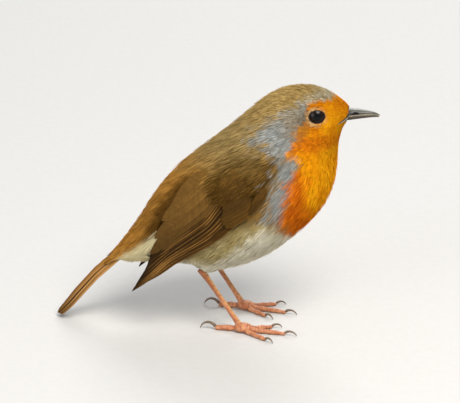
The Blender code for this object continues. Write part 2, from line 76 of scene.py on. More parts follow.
# Where feathers end at the bill's root (z, furthest x), and the lower edge of the bill's upper half (x, z)
BILL_EDGE = ((77.0, 49.0), (78.4, 47.4), (79.2, 45.8), (80.8, 46.2), (82.4, 48.2), (83.6, 56.0))
BILL_CUT = ((44, 80.1), (48, 80.6), (51, 80.9), (54, 81.0), (57, 80.85), (59, 80.5))
NOSTRIL = np.array((49.9, 1.75, 81.6))
NOSTRIL_SIZE = (2.3, 1.1, 0.8)
GAPE = ((43.9, 79.2), (45.6, 79.75), (47.4, 80.5), (48.9, 81.2))  # the mouth's line in the feathers (x, z)
GAPE_BARE = (0.25, 0.40)  # half width of the bare line there, at x 44 and 45
GAPE_REACH = 6.0  # how far from the bill's base it runs
GAPE_HEIGHT = (0.12, 0.95)  # half height of the fleshy line, at its end and at the bill
GAPE_BULGE = (0.10, 0.22)
GAPE_SINK = 0.05
HEEL = np.array((-5.0, 11.2, 24.3))
ANKLE = {"right": np.array((9.5, -11.2, 2.3)), "left": np.array((8.9, 11.2, 2.3))}
TOE_JOINTS = (4.4, 8.0, 11.4)  # distances of the toes' knuckles from where the toes meet
TOES_MEET = 1.0  # height of that place
SHANK_RADIUS = 1.9  # the shank's plates lie within this distance of its middle line,
SHANK_LOW = 3.4  # and above this height
SHANK_PLATE = 2.3  # length of a plate of horn on the leg
TOE_PLATE = 1.05
PLATE_SWELL = 0.05
GROOVE_DEPTH = 0.07
KNUCKLE_SWELL = 0.16
LEG_MESH = (0.2, 4)  # step and rounds of smoothing
BILL_MESH = (0.16, 3)
BILL_SWELL = 0.10  # makes up for what smoothing takes
CLAW_GROWTH = 1.2  # claws grow from their tips by this, so that their roots sink into the toes
BODY_AXIS = np.array(((46, 0, 82), (34, 0, 80), (24, 0, 68), (8, 0, 50), (-12, 0, 40), (-34, 0, 26)), float)
TAIL_SINK = np.array((-72.0, 0.0, -8.0))  # the lie of the feathers runs towards this point
# The tail's top ridge (x, z) and its half width there
TAIL_PATH = np.array((
    (-24.0, 36.4, 2.8), (-28.4, 33.2, 3.8), (-37.1, 26.4, 4.6), (-45.1, 19.0, 5.0), (-52.3, 10.6, 4.9),
    (-59.2, 1.5, 3.9),
))
TAIL_BARE = -38.0  # fewer and fewer roots lie behind this,
TAIL_RAGGED = 2.5  # and none this much further back
WING_SIDE = 10.5  # the wings lie further out than this
WING_SIDE_REAR = 13.0  # and further out than this behind the body
# The wing's lower edge, seen from the side (x, z)
WING_LOWER = ((-45, 2), (-30, 14.4), (-22.2, 20.4), (-13.6, 27.4), (-4.6, 34.6), (4.9, 41.6), (12.5, 48.0))
# The side view outline of the wing where its long feathers lie bare of the softer coat
BARE_VANES = (
    (-31.5, 13), (-26.1, 16.8), (-19.4, 21.8), (-11.9, 27.6), (-4.4, 33.4), (3, 39.2), (8.5, 43.6),
    (12.5, 46.8), (15.8, 50.5), (18.8, 54.5), (18.6, 57.5), (15, 57.6), (10, 56), (6, 54.2), (2.6, 52.8),
    (-0.5, 54.5), (-2.5, 59.5), (-5.8, 59), (-10.4, 55.5), (-13.4, 51.8), (-16.4, 47.7), (-19.4, 43.4),
    (-21.4, 39.4), (-22.2, 34), (-23.3, 30), (-23.2, 27.6), (-24.7, 24.5), (-28.7, 19), (-32, 15),
)

# ---- markings
# Outlines of the colours, seen from the side, (x, z)
BIB = (
    (50, 87.5), (37, 88.0), (33.4, 87.2), (32.8, 84), (33.4, 81.4), (30.6, 79.6), (28.6, 77), (29.3, 73.6),
    (26.2, 71), (27.8, 69.2), (31, 66.8), (29.4, 62.6), (27.4, 59), (26.2, 52), (24.4, 45.5), (25.8, 40.4),
    (29, 37.4), (36, 37.0), (46, 40.0), (60, 48), (70, 70),
)
BRIGHT = (
    (26, 71), (30, 69), (31.5, 62), (31.5, 55), (34, 48), (50, 48), (56, 62), (56, 71), (50, 72), (49, 78),
    (46, 80), (42, 86), (38, 79), (40, 74), (36, 71),
)
DEEP = ((22, 36), (22, 66), (29.5, 66), (32.2, 60), (33.2, 50), (36, 43), (32, 34))
GREY_BAND = (
    (34, 87.4), (28, 86.2), (23.5, 84.6), (19.4, 81), (15.8, 77.7), (12.6, 75.2), (15.6, 73.8), (19, 72.4),
    (21.6, 70.2), (24.3, 68), (22.2, 61.6), (19.6, 53.1), (19.5, 47.5), (24, 43.5), (27, 46), (30, 60),
    (32, 70),
)
BELLY = (
    (60, 46), (46, 39.5), (36, 36.5), (30, 38.2), (26, 40.6), (23, 42.4), (19, 43), (13.6, 40), (9, 35),
    (3, 29.5), (-6, 27), (-14, 32), (-20, 37), (-23.1, 36.2), (-26.9, 32.6), (-30.8, 29.2), (-34.6, 25.6),
    (-38, 22.6), (-44, 16), (-40, 8), (0, 8), (60, 8),
)
RUMP = (
    (-4, 62), (-12, 50), (-18, 40), (-23, 36), (-27, 32.4), (-31, 29), (-38, 22), (-52, 12), (-52, 40),
    (-28, 60),
)
WING_AREA = (
    (24.9, 68.6), (23.1, 64), (21.1, 59.4), (19, 55.2), (15.8, 50.9), (12.5, 47), (4, 42), (-3, 50),
    (-3.5, 56), (-2.5, 61), (1.5, 66), (6.5, 69.2), (13.5, 70.2), (20.5, 70.6),
)
EAR = (29.3, 80.0)
SHOULDER = (4.5, 57.0)
# A colour's share is a product of soft steps. Each step has a measure, its value where the step is least and
# where it is 1, and the step's least if that isn't 0. The function measures() says what each measure is.
MARKINGS = {
    "orange": (("bib_share", -1.0, 1.0),),
    "bright": (("bright", -2.5, 2.5),),
    "deep": (("deep", -2.5, 2.0),),
    "fold": (("z", 69.5, 71.5), ("z", 77.0, 74.0)),
    "nape": (("z", 56.0, 74.0), ("x", 24.0, 14.0)),
    "grey": (("grey_share", -1.6, 1.6), ("z", 84.0, 76.0, 0.8)),
    "belly": (("belly", -1.2, 1.2),),
    "rump": (("rump", -7.0, 6.0), ("z", 46.0, 34.0, 0.75)),
    "covert": (("coverts", -2.5, 2.5), ("y", 10.0, 14.0), ("z", 67.0, 60.0, 0.72)),
    "face": (("bill", 24.0, 13.0),),
    "crown": (("z", 74.0, 84.0), ("x", 4.0, 14.0)),
    "front": (("bib", -3.6, -1.0), ("z", 82.0, 84.5), ("x", 28.0, 33.0)),
    "ear": (("ear", 6.5, 2.5),),
    "ring": (("eye", 4.1, 3.3), ("bill", 20.0, 16.0), ("past_eye", 1.0, -1.5, 0.3)),
    # This entry and the next make the shade marking, which is painted shade; this one darkens the rump along
    # the wing's upper edge
    "edge": (("crease", -7.5, -1.0), ("x", -6.0, -11.0), ("y", 8.0, 12.0), ("z", 30.0, 36.0)),
    # A painted shadow on the shoulder, under the scapulars
    "shoulder_shadow": (("shoulder", 7.0, 1.0), ("y", 8.0, 12.0), ("z", 30.0, 36.0)),
    "flank": (("z", 48.0, 42.0), ("x", 24.0, 18.0), ("x", -14.0, -6.0)),
    # Painted shadow on the flank, just below the wing's lower edge
    "under": (
        ("below", 6.5, 0.5), ("below", -1.5, 0.0), ("y", 10.0, 13.0), ("x", 17.0, 12.0), ("x", -20.0, -14.0),
    ),
    "vent": (("x", -13.0, -17.0),),
}
FOLD_DEPTH = 0.5
# How strongly the painted shadow on the shoulder counts within the painted shade
SHOULDER_SHADOW_DEPTH = 0.75

# ---- sizes of the coat
# Five that grow with distance from the bill: least, most, and the distances where growth starts and ends
COAT_DEPTH = (0.35, 1.7, 3.0, 34.0)
FEATHER_LENGTH = (1.4, 8.0, 2.0, 42.0)
FEATHER_GAP = (0.48, 1.5, 3.0, 38.0)
STRAND_WIDTH = (0.13, 0.30, 3.0, 36.0)
EDGE_SOFTNESS = (0.5, 1.6, 10.0, 40.0)  # of the colours' edges
ROOT_TRIES = 150000
ROOT_CELL = 1.1  # the grid that finds roots too close together
STATIONS = 4  # points along a strand
STRANDS = 12  # strands to a feather
CLUMP = 3  # strands that lean together into one point
STRAND_PROFILE = np.array((0.7, 1.0, 0.85, 0.0))  # a strand's width along it
PIECE_LIMIT = 190000  # triangles in one piece of the coat
BAKE_PATCH = 0.003  # a strand's size in the bake's map
CHART_START = 12.0  # the map starts this far ahead of the body's axis,
CHART_EXTRA = 30.0  # and runs on for this much more than its length
LENGTH_SPREAD = (0.85, 1.15)  # chance in feathers' lengths
SWING = 0.10  # chance in their directions
FAN_HALF = 0.30  # half width of a feather, as a share of its length
FAN_SHORT = 0.30  # by how much its outer strands are shorter
FAN_SPREAD = 0.07  # chance in strands' places across it
KNOT_SPREAD = 0.10  # and in those of the points that clumps lean to
REACH_SPREAD = (0.82, 1.08)  # chance in strands' lengths
GATHER = 0.72  # how far the strands of a clump close up at their tips
WAVE = 0.018  # sideways bend of a strand, as a share of the feather's length
LIFT_SPREAD = (0.06, 0.10, 0.02)  # chance in height by feather, clump and strand, as shares of the depth
RAGGED_SPREAD = (0.55, 0, 0.35)  # and in the places of the colours' edges
LUCK_SPREAD = (0.10, 0.22, 0.06)  # and in tint
WIDTH_SPREAD = (0.8, 1.2)  # and in strands' widths
UNDER_WING = 0.3  # feathers of the flank grow this far up behind the wing's lower edge,
UNDER_WING_REACH = 0.6  # and lie this far up behind it
VANE_NEAR = 0.7  # roots this near a long feather are left out
RIDGE = 0.28  # height of a strand's ridge, as a share of its width
RIDGE_LEAN = 0.7  # how far the shading leans over at a strand's edges
BODY_SHADING = 0.9  # how much of the body's own shading strands take

# ---- the surfaces under the skin and the coat
MESH_STEP = 0.8
MESH_ROUNDS = 8  # of smoothing
FACE_FROM = 42.0  # the face is flattened only ahead of this,
FACE_SIDE = (3.8, 2.8)  # and only this near the middle
FACE_FLATTENED = 0.85
REAR_SOFT = (-24.0, -31.0)  # the rear is smoothed from the first x, and fully from the second
SKIN_ROUNDS = 12
COAT_ROUNDS = 45
REAR_TAPER = (-30.0, -41.5)  # and drawn down onto the tail
TAPER_HEIGHT = 0.14
TAPER_WIDTH = 0.86
TAIL_MIDDLE = 0.7  # depth of the tail's middle under its ridge
SKIN_END = -0.8  # height of the skin over the tail's root
COAT_END = 0.35  # and of the coat there
COAT_THIN = (-40.0, -28.0)  # the coat is thinnest at the first x,
COAT_THINNEST = 0.16  # with this share of its depth
FEATHER_SHORT = (-20.0, -28.0)  # feathers grow shorter from the first x to the second,
FEATHER_SHORTEST = 0.75  # down to this share of their length
FLOW_TO_TAIL = 1.4  # pull of the tail on the feathers' lie, against the bill's push
FLOW_REACH = 22.0  # distance from the bill within which feathers part round the eyes
HEEL_PULL = (9.0, 4.0)  # distances from the heel where feathers begin to lie, and lie fully, towards it

# ---- the wing's and tail's long feathers
# The wing's feathers seen from the side, (x, z), from the lowest up. Each row: places on the middle line from
# base to tip, half width, height over the wing's ground, where the tip begins to narrow, strength of the pale
# edge, darkness.
FEATHER_ROWS = {
    "primary": (
        (((11.6, 48.3), (-4.4, 35.8), (-19.4, 24.2), (-27.6, 17.2)), 1.35, 0.00, 0.70, 0.45, 0.0),
        (((8.4, 47.5), (-4.4, 37.2), (-19.4, 25.6), (-29.9, 15.0)), 1.65, 0.12, 0.72, 0.8, 0.3),
        (((6.0, 47.9), (-4.4, 38.9), (-19.4, 26.7), (-29.3, 15.8)), 1.70, 0.24, 0.72, 1.0, 0.1),
        (((5.4, 49.0), (-4.4, 40.2), (-19.4, 27.6), (-28.5, 17.3)), 1.70, 0.36, 0.72, 0.9, 0.0),
        (((4.8, 50.2), (-4.4, 41.8), (-19.4, 28.5), (-27.4, 18.9)), 1.70, 0.48, 0.72, 0.9, 0.2),
        (((4.4, 51.2), (-4.4, 43.0), (-19.4, 29.2), (-26.5, 20.3)), 1.70, 0.58, 0.72, 0.0, 1.0),
        (((4.0, 52.0), (-4.4, 43.8), (-19.4, 29.8), (-25.6, 21.7)), 1.75, 0.68, 0.74, 0.7, 0.4),
    ),
    "secondary": (
        (((3.4, 53.4), (-4.4, 45.4), (-19.4, 31.3), (-24.4, 24.2)), 1.8, 0.79, 0.76, 0.8, 0.2),
        (((3.0, 54.6), (-4.4, 46.7), (-19.4, 32.6), (-23.4, 27.2)), 1.9, 0.88, 0.78, 0.8, 0.2),
    ),
    "tertial": (
        (((3.4, 56.8), (-4.4, 49.2), (-19.4, 34.4), (-22.9, 30.2)), 2.6, 0.98, 0.72, 0.6, 0.4),
        (((1.8, 59.0), (-21.4, 36.8)), 2.9, 1.08, 0.60, 0.5, 0.2),
        (((0.0, 61.0), (-18.6, 44.0)), 2.7, 1.18, 0.56, 0.5, 0.0),
        (((-2.0, 63.0), (-14.6, 50.4)), 2.4, 1.28, 0.50, 0.5, 0.0),
    ),
    "primary_covert": (
        (((14.8, 51.2), (4.9, 44.2)), 1.45, 0.76, 0.72, 0.6, 0.2),
        (((14.8, 52.8), (3.9, 45.6)), 1.35, 0.86, 0.72, 0.6, 0.3),
        (((14.8, 54.4), (3.5, 47.1)), 1.35, 0.96, 0.72, 0.6, 0.3),
        (((14.6, 56.0), (3.5, 48.6)), 1.35, 1.06, 0.72, 0.4, 0.5),
        (((14.2, 57.6), (3.8, 50.0)), 1.45, 1.16, 0.72, 0.2, 0.6),
    ),
    "alula": (
        (((19.4, 57.6), (13.3, 49.6)), 1.15, 1.26, 0.70, 0.8, 0.6),
        (((20.0, 60.4), (14.4, 53.0)), 1.15, 1.34, 0.66, 0.3, 0.3),
    ),
    "greater_covert": (
        (((13.6, 60.6), (3.8, 51.4)), 1.75, 1.14, 0.70, 0.1, 0.5),
        (((13.0, 62.6), (2.6, 52.8)), 1.85, 1.16, 0.68, 0.3, 0.5),
        (((12.0, 64.6), (1.6, 54.8)), 1.95, 1.18, 0.66, 0.5, 0.4),
        (((10.6, 66.6), (0.8, 57.2)), 1.95, 1.20, 0.64, 0.5, 0.0),
    ),
}
# Pieces of a wing: material, feathers to a row of the bake's map, kinds of feather, CAD nodes replaced
WING_PIECES = {
    "flight": ("flight_feather", 4, ("primary", "secondary"), ("wing_primaries", "wing_secondaries")),
    "tertials": ("tertial_feather", 2, ("tertial",), ()),
    "covert_vanes": ("covert_feather", 4, ("primary_covert", "alula", "greater_covert"), ()),
}
WING_GROUND = 1.45  # how far the lowest feather lies under the wing's outer face
VANE_CAMBER = 0.10  # how far a feather's edges lie lower than its middle
VANE_SHAFT = 0.10  # height of the shaft's ridge
VANE_THICK = 0.12
VANE_THICKER = 0.05  # in the middle
VANE_RIPPLE = 0.05  # waviness of the edges
BASE_SINK = 0.7  # how far a feather's base goes in under those that cover it
SHORT_DROOP = (0.4, 0.2)  # how far the tips of short feathers bend in, narrow ones and wide ones
SHORT_WIDTHS = (1.9, 2.4)  # half widths of the narrow and the wide
VANE_ALONG = 44  # steps of a feather's grid
VANE_ACROSS = 12
SHEET_STEP = 0.8  # the grid that holds the wing's outer face
SHEET_LOW = (-38.0, 4.0)
SHEET_HIGH = (32.0, 82.0)
SHEET_SPREAD = 60  # rounds of filling its empty places
SHEET_BLUR = 8  # and of smoothing
WING_FREE_BELOW = 34.0  # below this height the wing's feathers run on free of the body
WING_OVER_BODY = 1.6  # above it, the wing's face goes on this far outside the body
TAIL_FEATHERS = 6  # on each side
TAIL_PALE = (0.5, 0.9, 0.0, 1.0, 0.6, 1.0)  # strength of the pale edge, from the middle out
TAIL_DARK = (0.0, 0.0, 1.0, 0.0, 0.45, 0.0)
TAIL_ARCH = 1.8  # how far the outermost feathers lie lower
TAIL_THICK = 0.16
TAIL_SHAFT = 0.12
TAIL_LAYER = 0.17  # how far each feather lies under its inner neighbour
TAIL_LAYER_LEFT = 0.08  # and the left ones under the right ones
TAIL_PLACES = (0.12, 0.66)  # places of the innermost and outermost across the tail's half width
TAIL_HALF = 0.36  # a feather's half width, as a share of the tail's
TAIL_NOTCH = 1.3  # how much shorter the middle feathers are
TAIL_STEP = 0.25  # and each of the others than its inner neighbour

# ---- colours
# A tint goes from its first colour to its second by cloud, soft blotches, or streak, strand by strand
TINTS = {
    "olive": ("streak", (0.22, 0.118, 0.023), (0.31, 0.172, 0.040)),
    "nape": ("streak", (0.24, 0.158, 0.054), (0.31, 0.21, 0.078)),
    "crown": ("streak", (0.29, 0.185, 0.055), (0.38, 0.255, 0.090)),
    "rump": ("streak", (0.28, 0.115, 0.014), (0.43, 0.195, 0.035)),
    "covert": ("streak", (0.058, 0.029, 0.004), (0.108, 0.055, 0.010)),
    "grey": ("streak", (0.205, 0.215, 0.20), (0.285, 0.295, 0.275)),
    "front": ("streak", (0.29, 0.235, 0.13), (0.46, 0.40, 0.27)),
    "flank": ("cloud", (0.34, 0.255, 0.095), (0.48, 0.385, 0.18)),
    "belly": ("cloud", (0.60, 0.54, 0.375), (0.69, 0.64, 0.49)),
    "orange": ("cloud", (0.61, 0.175, 0.002), (0.68, 0.235, 0.003)),
    "bright": ("cloud", (0.68, 0.24, 0.002), (0.76, 0.32, 0.004)),
    "deep": ("streak", (0.47, 0.09, 0.003), (0.60, 0.145, 0.004)),
}
# Single colours: shade is painted shade and under a painted shadow below the wing; ear, ring and vent are the
# bird's own colours
MARKS_AND_SHADES = {
    "shade": (0.05, 0.022, 0.003),
    "under": (0.17, 0.115, 0.04),
    "ear": (0.20, 0.12, 0.04),
    "ring": (0.66, 0.43, 0.19),
    "vent": (0.66, 0.54, 0.26),
}
# The order in which the markings are painted over the olive, and how strongly; shade and under are painted
# shade
LAYERS = (
    ("nape", 1.0), ("crown", 1.0), ("rump", 1.0), ("flank", 1.0), ("covert", 1.0), ("shade", 0.8),
    ("front", 1.0), ("grey", 1.0), ("belly", 1.0), ("under", 0.7), ("orange", 1.0), ("ear", 0.45),
    ("ring", 0.85),
)
# Long feathers: dark and pale base, colour of the edge, where the edge begins, darkness of the inner web
VANE_LOOKS = {
    "flight_feather": ((0.036, 0.016, 0.002), (0.078, 0.034, 0.005), (0.30, 0.145, 0.034), 0.62, 0.8),
    "tertial_feather": ((0.115, 0.054, 0.009), (0.185, 0.092, 0.019), (0.23, 0.115, 0.025), 0.72, 0.0),
    "covert_feather": ((0.085, 0.038, 0.005), (0.14, 0.066, 0.010), (0.19, 0.095, 0.018), 0.60, 0.0),
    "tail_feather": ((0.24, 0.100, 0.018), (0.35, 0.152, 0.032), (0.50, 0.27, 0.095), 0.70, 0.6),
}

# ---- camera, floor and lights, in metres and degrees
CAMERA_AZIMUTH = 4.0
CAMERA_ELEVATION = 20.0
CAMERA_DISTANCE = 1.2
CAMERA_AIM = (0.00503, 0.0, 0.0463)
CAMERA_LENS = 258.3
FLOOR_HALF = 1.5
FLOOR_DROP = 0.0001
LIGHT_AIM = (0, 0, 0.05)
# Lamps: place, width, power in watts, tint
LIGHTS = {
    "key": ((0.35, -0.55, 0.95), 0.7, 16.0, (1.0, 0.97, 0.92)),
    "fill": ((-0.8, -0.9, 0.4), 0.8, 5.0, (0.95, 0.97, 1.0)),
    "rim": ((0.1, 0.9, 0.8), 0.6, 7.0, (1.0, 1.0, 1.0)),
}
SKY = (0.93, 0.96, 1.0, 1)
SKY_STRENGTH = 0.55


# ---- small numeric helpers
def unit(vectors):
    return vectors / np.maximum(np.linalg.norm(vectors, axis=-1, keepdims=True), 1e-9)


def smooth(low, high, value):
    t = np.clip((value - low) / (high - low), 0.0, 1.0)
    return t * t * (3 - 2 * t)


def mix(a, b, t):
    return a + (b - a) * t


def peak(value, centre, width):
    return np.exp(-((value - centre) / width) ** 2)


def tangent(vectors, normals):
    return vectors - normals * (vectors * normals).sum(-1, keepdims=True)


def follow(line, value):
    """The second coordinate of a line of places where its first is value."""
    return np.interp(value, *np.transpose(line))


def own_side(place, points):
    """A place on the bird's left, or its mirror image for points on the right."""
    return place * np.where(points[..., 1:2] < 0, (1, -1, 1), (1, 1, 1))


def inside(x, z, outline):
    """Signed distance to an outline, positive inside."""
    corners = np.array(outline, float)
    best = np.full(x.shape, 1e9)
    odd = np.zeros(x.shape, bool)
    for (ax, az), (bx, bz) in zip(corners, np.roll(corners, -1, axis=0)):
        ex = bx - ax
        ez = bz - az
        t = np.clip(((x - ax) * ex + (z - az) * ez) / (ex * ex + ez * ez), 0, 1)
        best = np.minimum(best, np.hypot(x - ax - t * ex, z - az - t * ez))
        crosses = (az > z) != (bz > z)
        where = ax + (z - az) * ex / (ez if abs(ez) > 1e-9 else 1e-9)
        odd ^= crosses & (x < where)
    return np.where(odd, best, -best)


# ---- meshes
def read_rows(items, key, kind=float):
    """Three numbers for each item of a mesh, one row an item."""
    flat = np.empty(len(items) * 3, kind)
    items.foreach_get(key, flat)
    return flat.reshape(-1, 3)


def read_points(mesh):
    return read_rows(mesh.vertices, "co") / MM


def read_normals(mesh):
    return read_rows(mesh.vertices, "normal")


def read_triangles(mesh):
    mesh.calc_loop_triangles()
    return read_rows(mesh.loop_triangles, "vertices", int)


def move_points(mesh, points):
    mesh.vertices.foreach_set("co", (points * MM).ravel())
    mesh.update()


def finish_mesh(mesh, values):
    """Smooth shading, and values for the material: one number a point under each name."""
    mesh.polygons.foreach_set("use_smooth", np.ones(len(mesh.polygons), bool))
    for key, numbers in values.items():
        attribute = mesh.attributes.new(key, "FLOAT", "POINT")
        attribute.data.foreach_set("value", np.asarray(numbers, np.float32).ravel())


def new_mesh(name, points, faces, uv=None, normals=None, **values):
    """A mesh from arrays: points in millimetres, faces all of one kind; uv, normals and values by point."""
    mesh = bpy.data.meshes.new(name)
    mesh.vertices.add(len(points))
    mesh.vertices.foreach_set("co", (points * MM).ravel())
    mesh.loops.add(faces.size)
    mesh.loops.foreach_set("vertex_index", faces.ravel())
    mesh.polygons.add(len(faces))
    mesh.polygons.foreach_set("loop_start", np.arange(len(faces)) * faces.shape[1])
    mesh.update(calc_edges=True)
    if uv is not None:
        layer = mesh.uv_layers.new(name="OFBake")
        layer.data.foreach_set("uv", uv[faces.ravel()].ravel())
    finish_mesh(mesh, values)
    if normals is not None:
        mesh.normals_split_custom_set_from_vertices(normals.tolist())
    return mesh


def add_object(name, data):
    made = bpy.data.objects.new(name, data)
    bpy.context.scene.collection.objects.link(made)
    return made


def new_piece(name, mesh, material, replaces=()):
    piece = add_object(name, mesh)
    mesh.materials.append(material)
    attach(piece, "root")
    if replaces:
        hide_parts(*replaces)


def join_nodes(names, change=None):
    """Several CAD nodes' points and triangles as one mesh's. change, if given, moves each node's points."""
    points = []
    triangles = []
    count = 0
    for name in names:
        own = read_points(NODES[name].data)
        triangles.append(read_triangles(NODES[name].data) + count)
        points.append(change(own) if change else own)
        count += len(own)
    return np.vstack(points), np.vstack(triangles)


def modified_mesh(points, faces, modifiers):
    """A new mesh with modifiers applied, each given as its kind and its settings."""
    mesh = bpy.data.meshes.new("raw")
    mesh.from_pydata((points * MM).tolist(), [], faces.tolist())
    holder = add_object("raw", mesh)
    for kind, settings in modifiers.items():
        modifier = holder.modifiers.new(kind, kind)
        for key, value in settings.items():
            setattr(modifier, key, value)
    graph = bpy.context.evaluated_depsgraph_get()
    result = bpy.data.meshes.new_from_object(holder.evaluated_get(graph))
    bpy.data.objects.remove(holder)
    bpy.data.meshes.remove(mesh)
    return result


def joined_surface(names, step, rounds):
    """One closed mesh round several CAD nodes: joined, remeshed and smoothed."""
    modifiers = {"REMESH": {"mode": "VOXEL", "voxel_size": step * MM}, "SMOOTH": {"iterations": rounds}}
    return modified_mesh(*join_nodes(names), modifiers)


def node_tree(name):
    mesh = NODES[name].data
    return BVHTree.FromPolygons(read_points(mesh).tolist(), read_triangles(mesh).tolist())


class Surface:
    """Nearest points and smooth normals of a closed mesh, in millimetres."""

    def __init__(self, mesh):
        self.points = read_points(mesh)
        self.normals = read_normals(mesh)
        self.triangles = read_triangles(mesh)
        self.tree = BVHTree.FromPolygons(self.points.tolist(), self.triangles.tolist(), all_triangles=True)

    def nearest(self, queries):
        shape = queries.shape
        found = [self.tree.find_nearest(q) for q in queries.reshape(-1, 3).tolist()]
        places = np.array([f[0][:] for f in found])
        corner = self.triangles[np.array([f[2] for f in found])]
        a, b, c = (self.points[corner[:, k]] for k in range(3))
        whole = np.cross(b - a, c - a)
        size = np.maximum((whole * whole).sum(1), 1e-12)
        share_b = (np.cross(places - a, c - a) * whole).sum(1) / size
        share_c = (np.cross(b - a, places - a) * whole).sum(1) / size
        shares = np.stack((1 - share_b - share_c, share_b, share_c), 1)[..., None]
        normals = unit((self.normals[corner] * shares).sum(1))
        return places.reshape(shape), normals.reshape(shape)


# ---- the body's surfaces
def open_face(mesh):
    """Flattens the face at the bill's root, back to BILL_EDGE, and lowers it round the eyes."""
    points = read_points(mesh)
    ahead = np.maximum(points[:, 0] - follow(BILL_EDGE, points[:, 2]), 0.0)
    beside = smooth(*FACE_SIDE, np.abs(points[:, 1])) * (points[:, 0] > FACE_FROM)
    points[:, 0] -= FACE_FLATTENED * ahead * beside
    move_points(mesh, eye_socket(points))
    return mesh


def soften_rear(mesh, rounds):
    """Smooths the rear of the body, where the tail comes out of it."""
    points = read_points(mesh)
    edges = np.empty(len(mesh.edges) * 2, int)
    mesh.edges.foreach_get("vertices", edges)
    a, b = edges.reshape(-1, 2).T
    count = len(points)
    weight = smooth(*REAR_SOFT, points[:, :1])
    links = np.bincount(a, minlength=count) + np.bincount(b, minlength=count)
    for _ in range(rounds):
        total = [np.bincount(a, points[b, k], count) + np.bincount(b, points[a, k], count) for k in range(3)]
        points = mix(points, np.stack(total, 1) / links[:, None], weight)
    move_points(mesh, points)
    return mesh


def taper_rear(mesh, above):
    """Draws the blunt end of the body down onto the root of the tail, above mm over the feathers there."""
    points = read_points(mesh)
    share = smooth(*REAR_TAPER, points[:, 0])
    plane = follow(TAIL_PATH[::-1, :2], points[:, 0]) - TAIL_MIDDLE
    points[:, 2] = plane + (points[:, 2] - plane) * mix(1.0, TAPER_HEIGHT, share) + above * share
    points[:, 1] *= mix(1.0, TAPER_WIDTH, share)
    move_points(mesh, points)
    return mesh


def skin_mesh():
    mesh = open_face(joined_surface(FLESH + EYES, MESH_STEP, MESH_ROUNDS))
    return taper_rear(soften_rear(mesh, SKIN_ROUNDS), SKIN_END)


def outer_surface():
    """The body with its wings and tail."""
    mesh = open_face(joined_surface(FLESH + EYES + VANE_NODES, MESH_STEP, MESH_ROUNDS))
    return Surface(taper_rear(soften_rear(mesh, COAT_ROUNDS), COAT_END))


def bare_surface():
    """The body without its wings."""
    mesh = joined_surface(FLESH_BARE + EYES + ("tail",), MESH_STEP, MESH_ROUNDS)
    return Surface(taper_rear(soften_rear(mesh, COAT_ROUNDS), COAT_END))


# ---- the coat's plan
def bill_distance(points):
    return np.linalg.norm(points - BILL_BASE, axis=-1)


def by_bill(points, sizes):
    """A size that grows with distance from the bill: its least and most, and where growth starts and ends."""
    least, most, start, end = sizes
    return mix(least, most, smooth(start, end, bill_distance(points)))


def coat_depth(points):
    """The coat's depth: least on the face and where the body runs into the tail."""
    return by_bill(points, COAT_DEPTH) * mix(COAT_THINNEST, 1.0, smooth(*COAT_THIN, points[..., 0]))


def feather_length(points):
    shorter = mix(1.0, FEATHER_SHORTEST, smooth(*FEATHER_SHORT, points[..., 0]))
    return by_bill(points, FEATHER_LENGTH) * shorter


def eye_offset(points):
    """Distance from the axis of the eye on the point's own side, and the direction away from it."""
    away = tangent(points - own_side(EYE_CENTRE, points), own_side(unit(EYE_AXIS), points))
    return np.linalg.norm(away, axis=-1, keepdims=True), unit(away)


def eye_rim(away):
    """Radius of the eye's opening in a direction from its axis: longer than it is high."""
    return EYE_OPENING * (1 + EYE_LONG * (1 - 2 * away[..., 2:3] ** 2))


def eye_socket(points):
    """Lowers points round the eye to a shallow cone that meets the eyeball at its rim."""
    axis = own_side(unit(EYE_AXIS), points)
    distance, away = eye_offset(points)
    rim = eye_rim(away)
    height = ((points - own_side(EYE_CENTRE, points)) * axis).sum(-1, keepdims=True)
    top = np.sqrt(EYE_RADIUS ** 2 - rim ** 2) + SOCKET_LIFT + SOCKET_SLOPE * (distance - rim)
    near = (bill_distance(points)[..., None] < EYE_REACH) * smooth(*SOCKET_EDGE, distance)
    return points - axis * near * np.maximum(height - top, 0.0)


def clear_eye(points):
    """Pushes strands that would cross the eye out to its rim."""
    distance, away = eye_offset(points)
    rim = eye_rim(away)
    near = (bill_distance(points)[..., None] < EYE_REACH) & (distance < rim)
    return np.where(near, points + away * (rim - distance), points)


def flow(points, normals):
    """The lie of the feathers: from the bill to the tail, round the eyes, down the thighs to the heels."""
    start = points - BILL_BASE
    end = TAIL_SINK - points
    pull = FLOW_TO_TAIL / (end ** 2).sum(-1, keepdims=True)
    lie = unit(tangent(start / (start ** 2).sum(-1, keepdims=True) + end * pull, normals))
    distance, away = eye_offset(points)
    near = (EYE_OPENING / np.maximum(distance, EYE_OPENING)) ** 2
    near = np.where(bill_distance(points)[..., None] < FLOW_REACH, near, 0.0)
    lie = lie - away * (lie * away).sum(-1, keepdims=True) * near
    to_heel = own_side(HEEL, points) - points
    pull = smooth(*HEEL_PULL, np.linalg.norm(to_heel, axis=-1, keepdims=True))
    return unit(tangent(mix(lie, unit(to_heel), pull), normals))


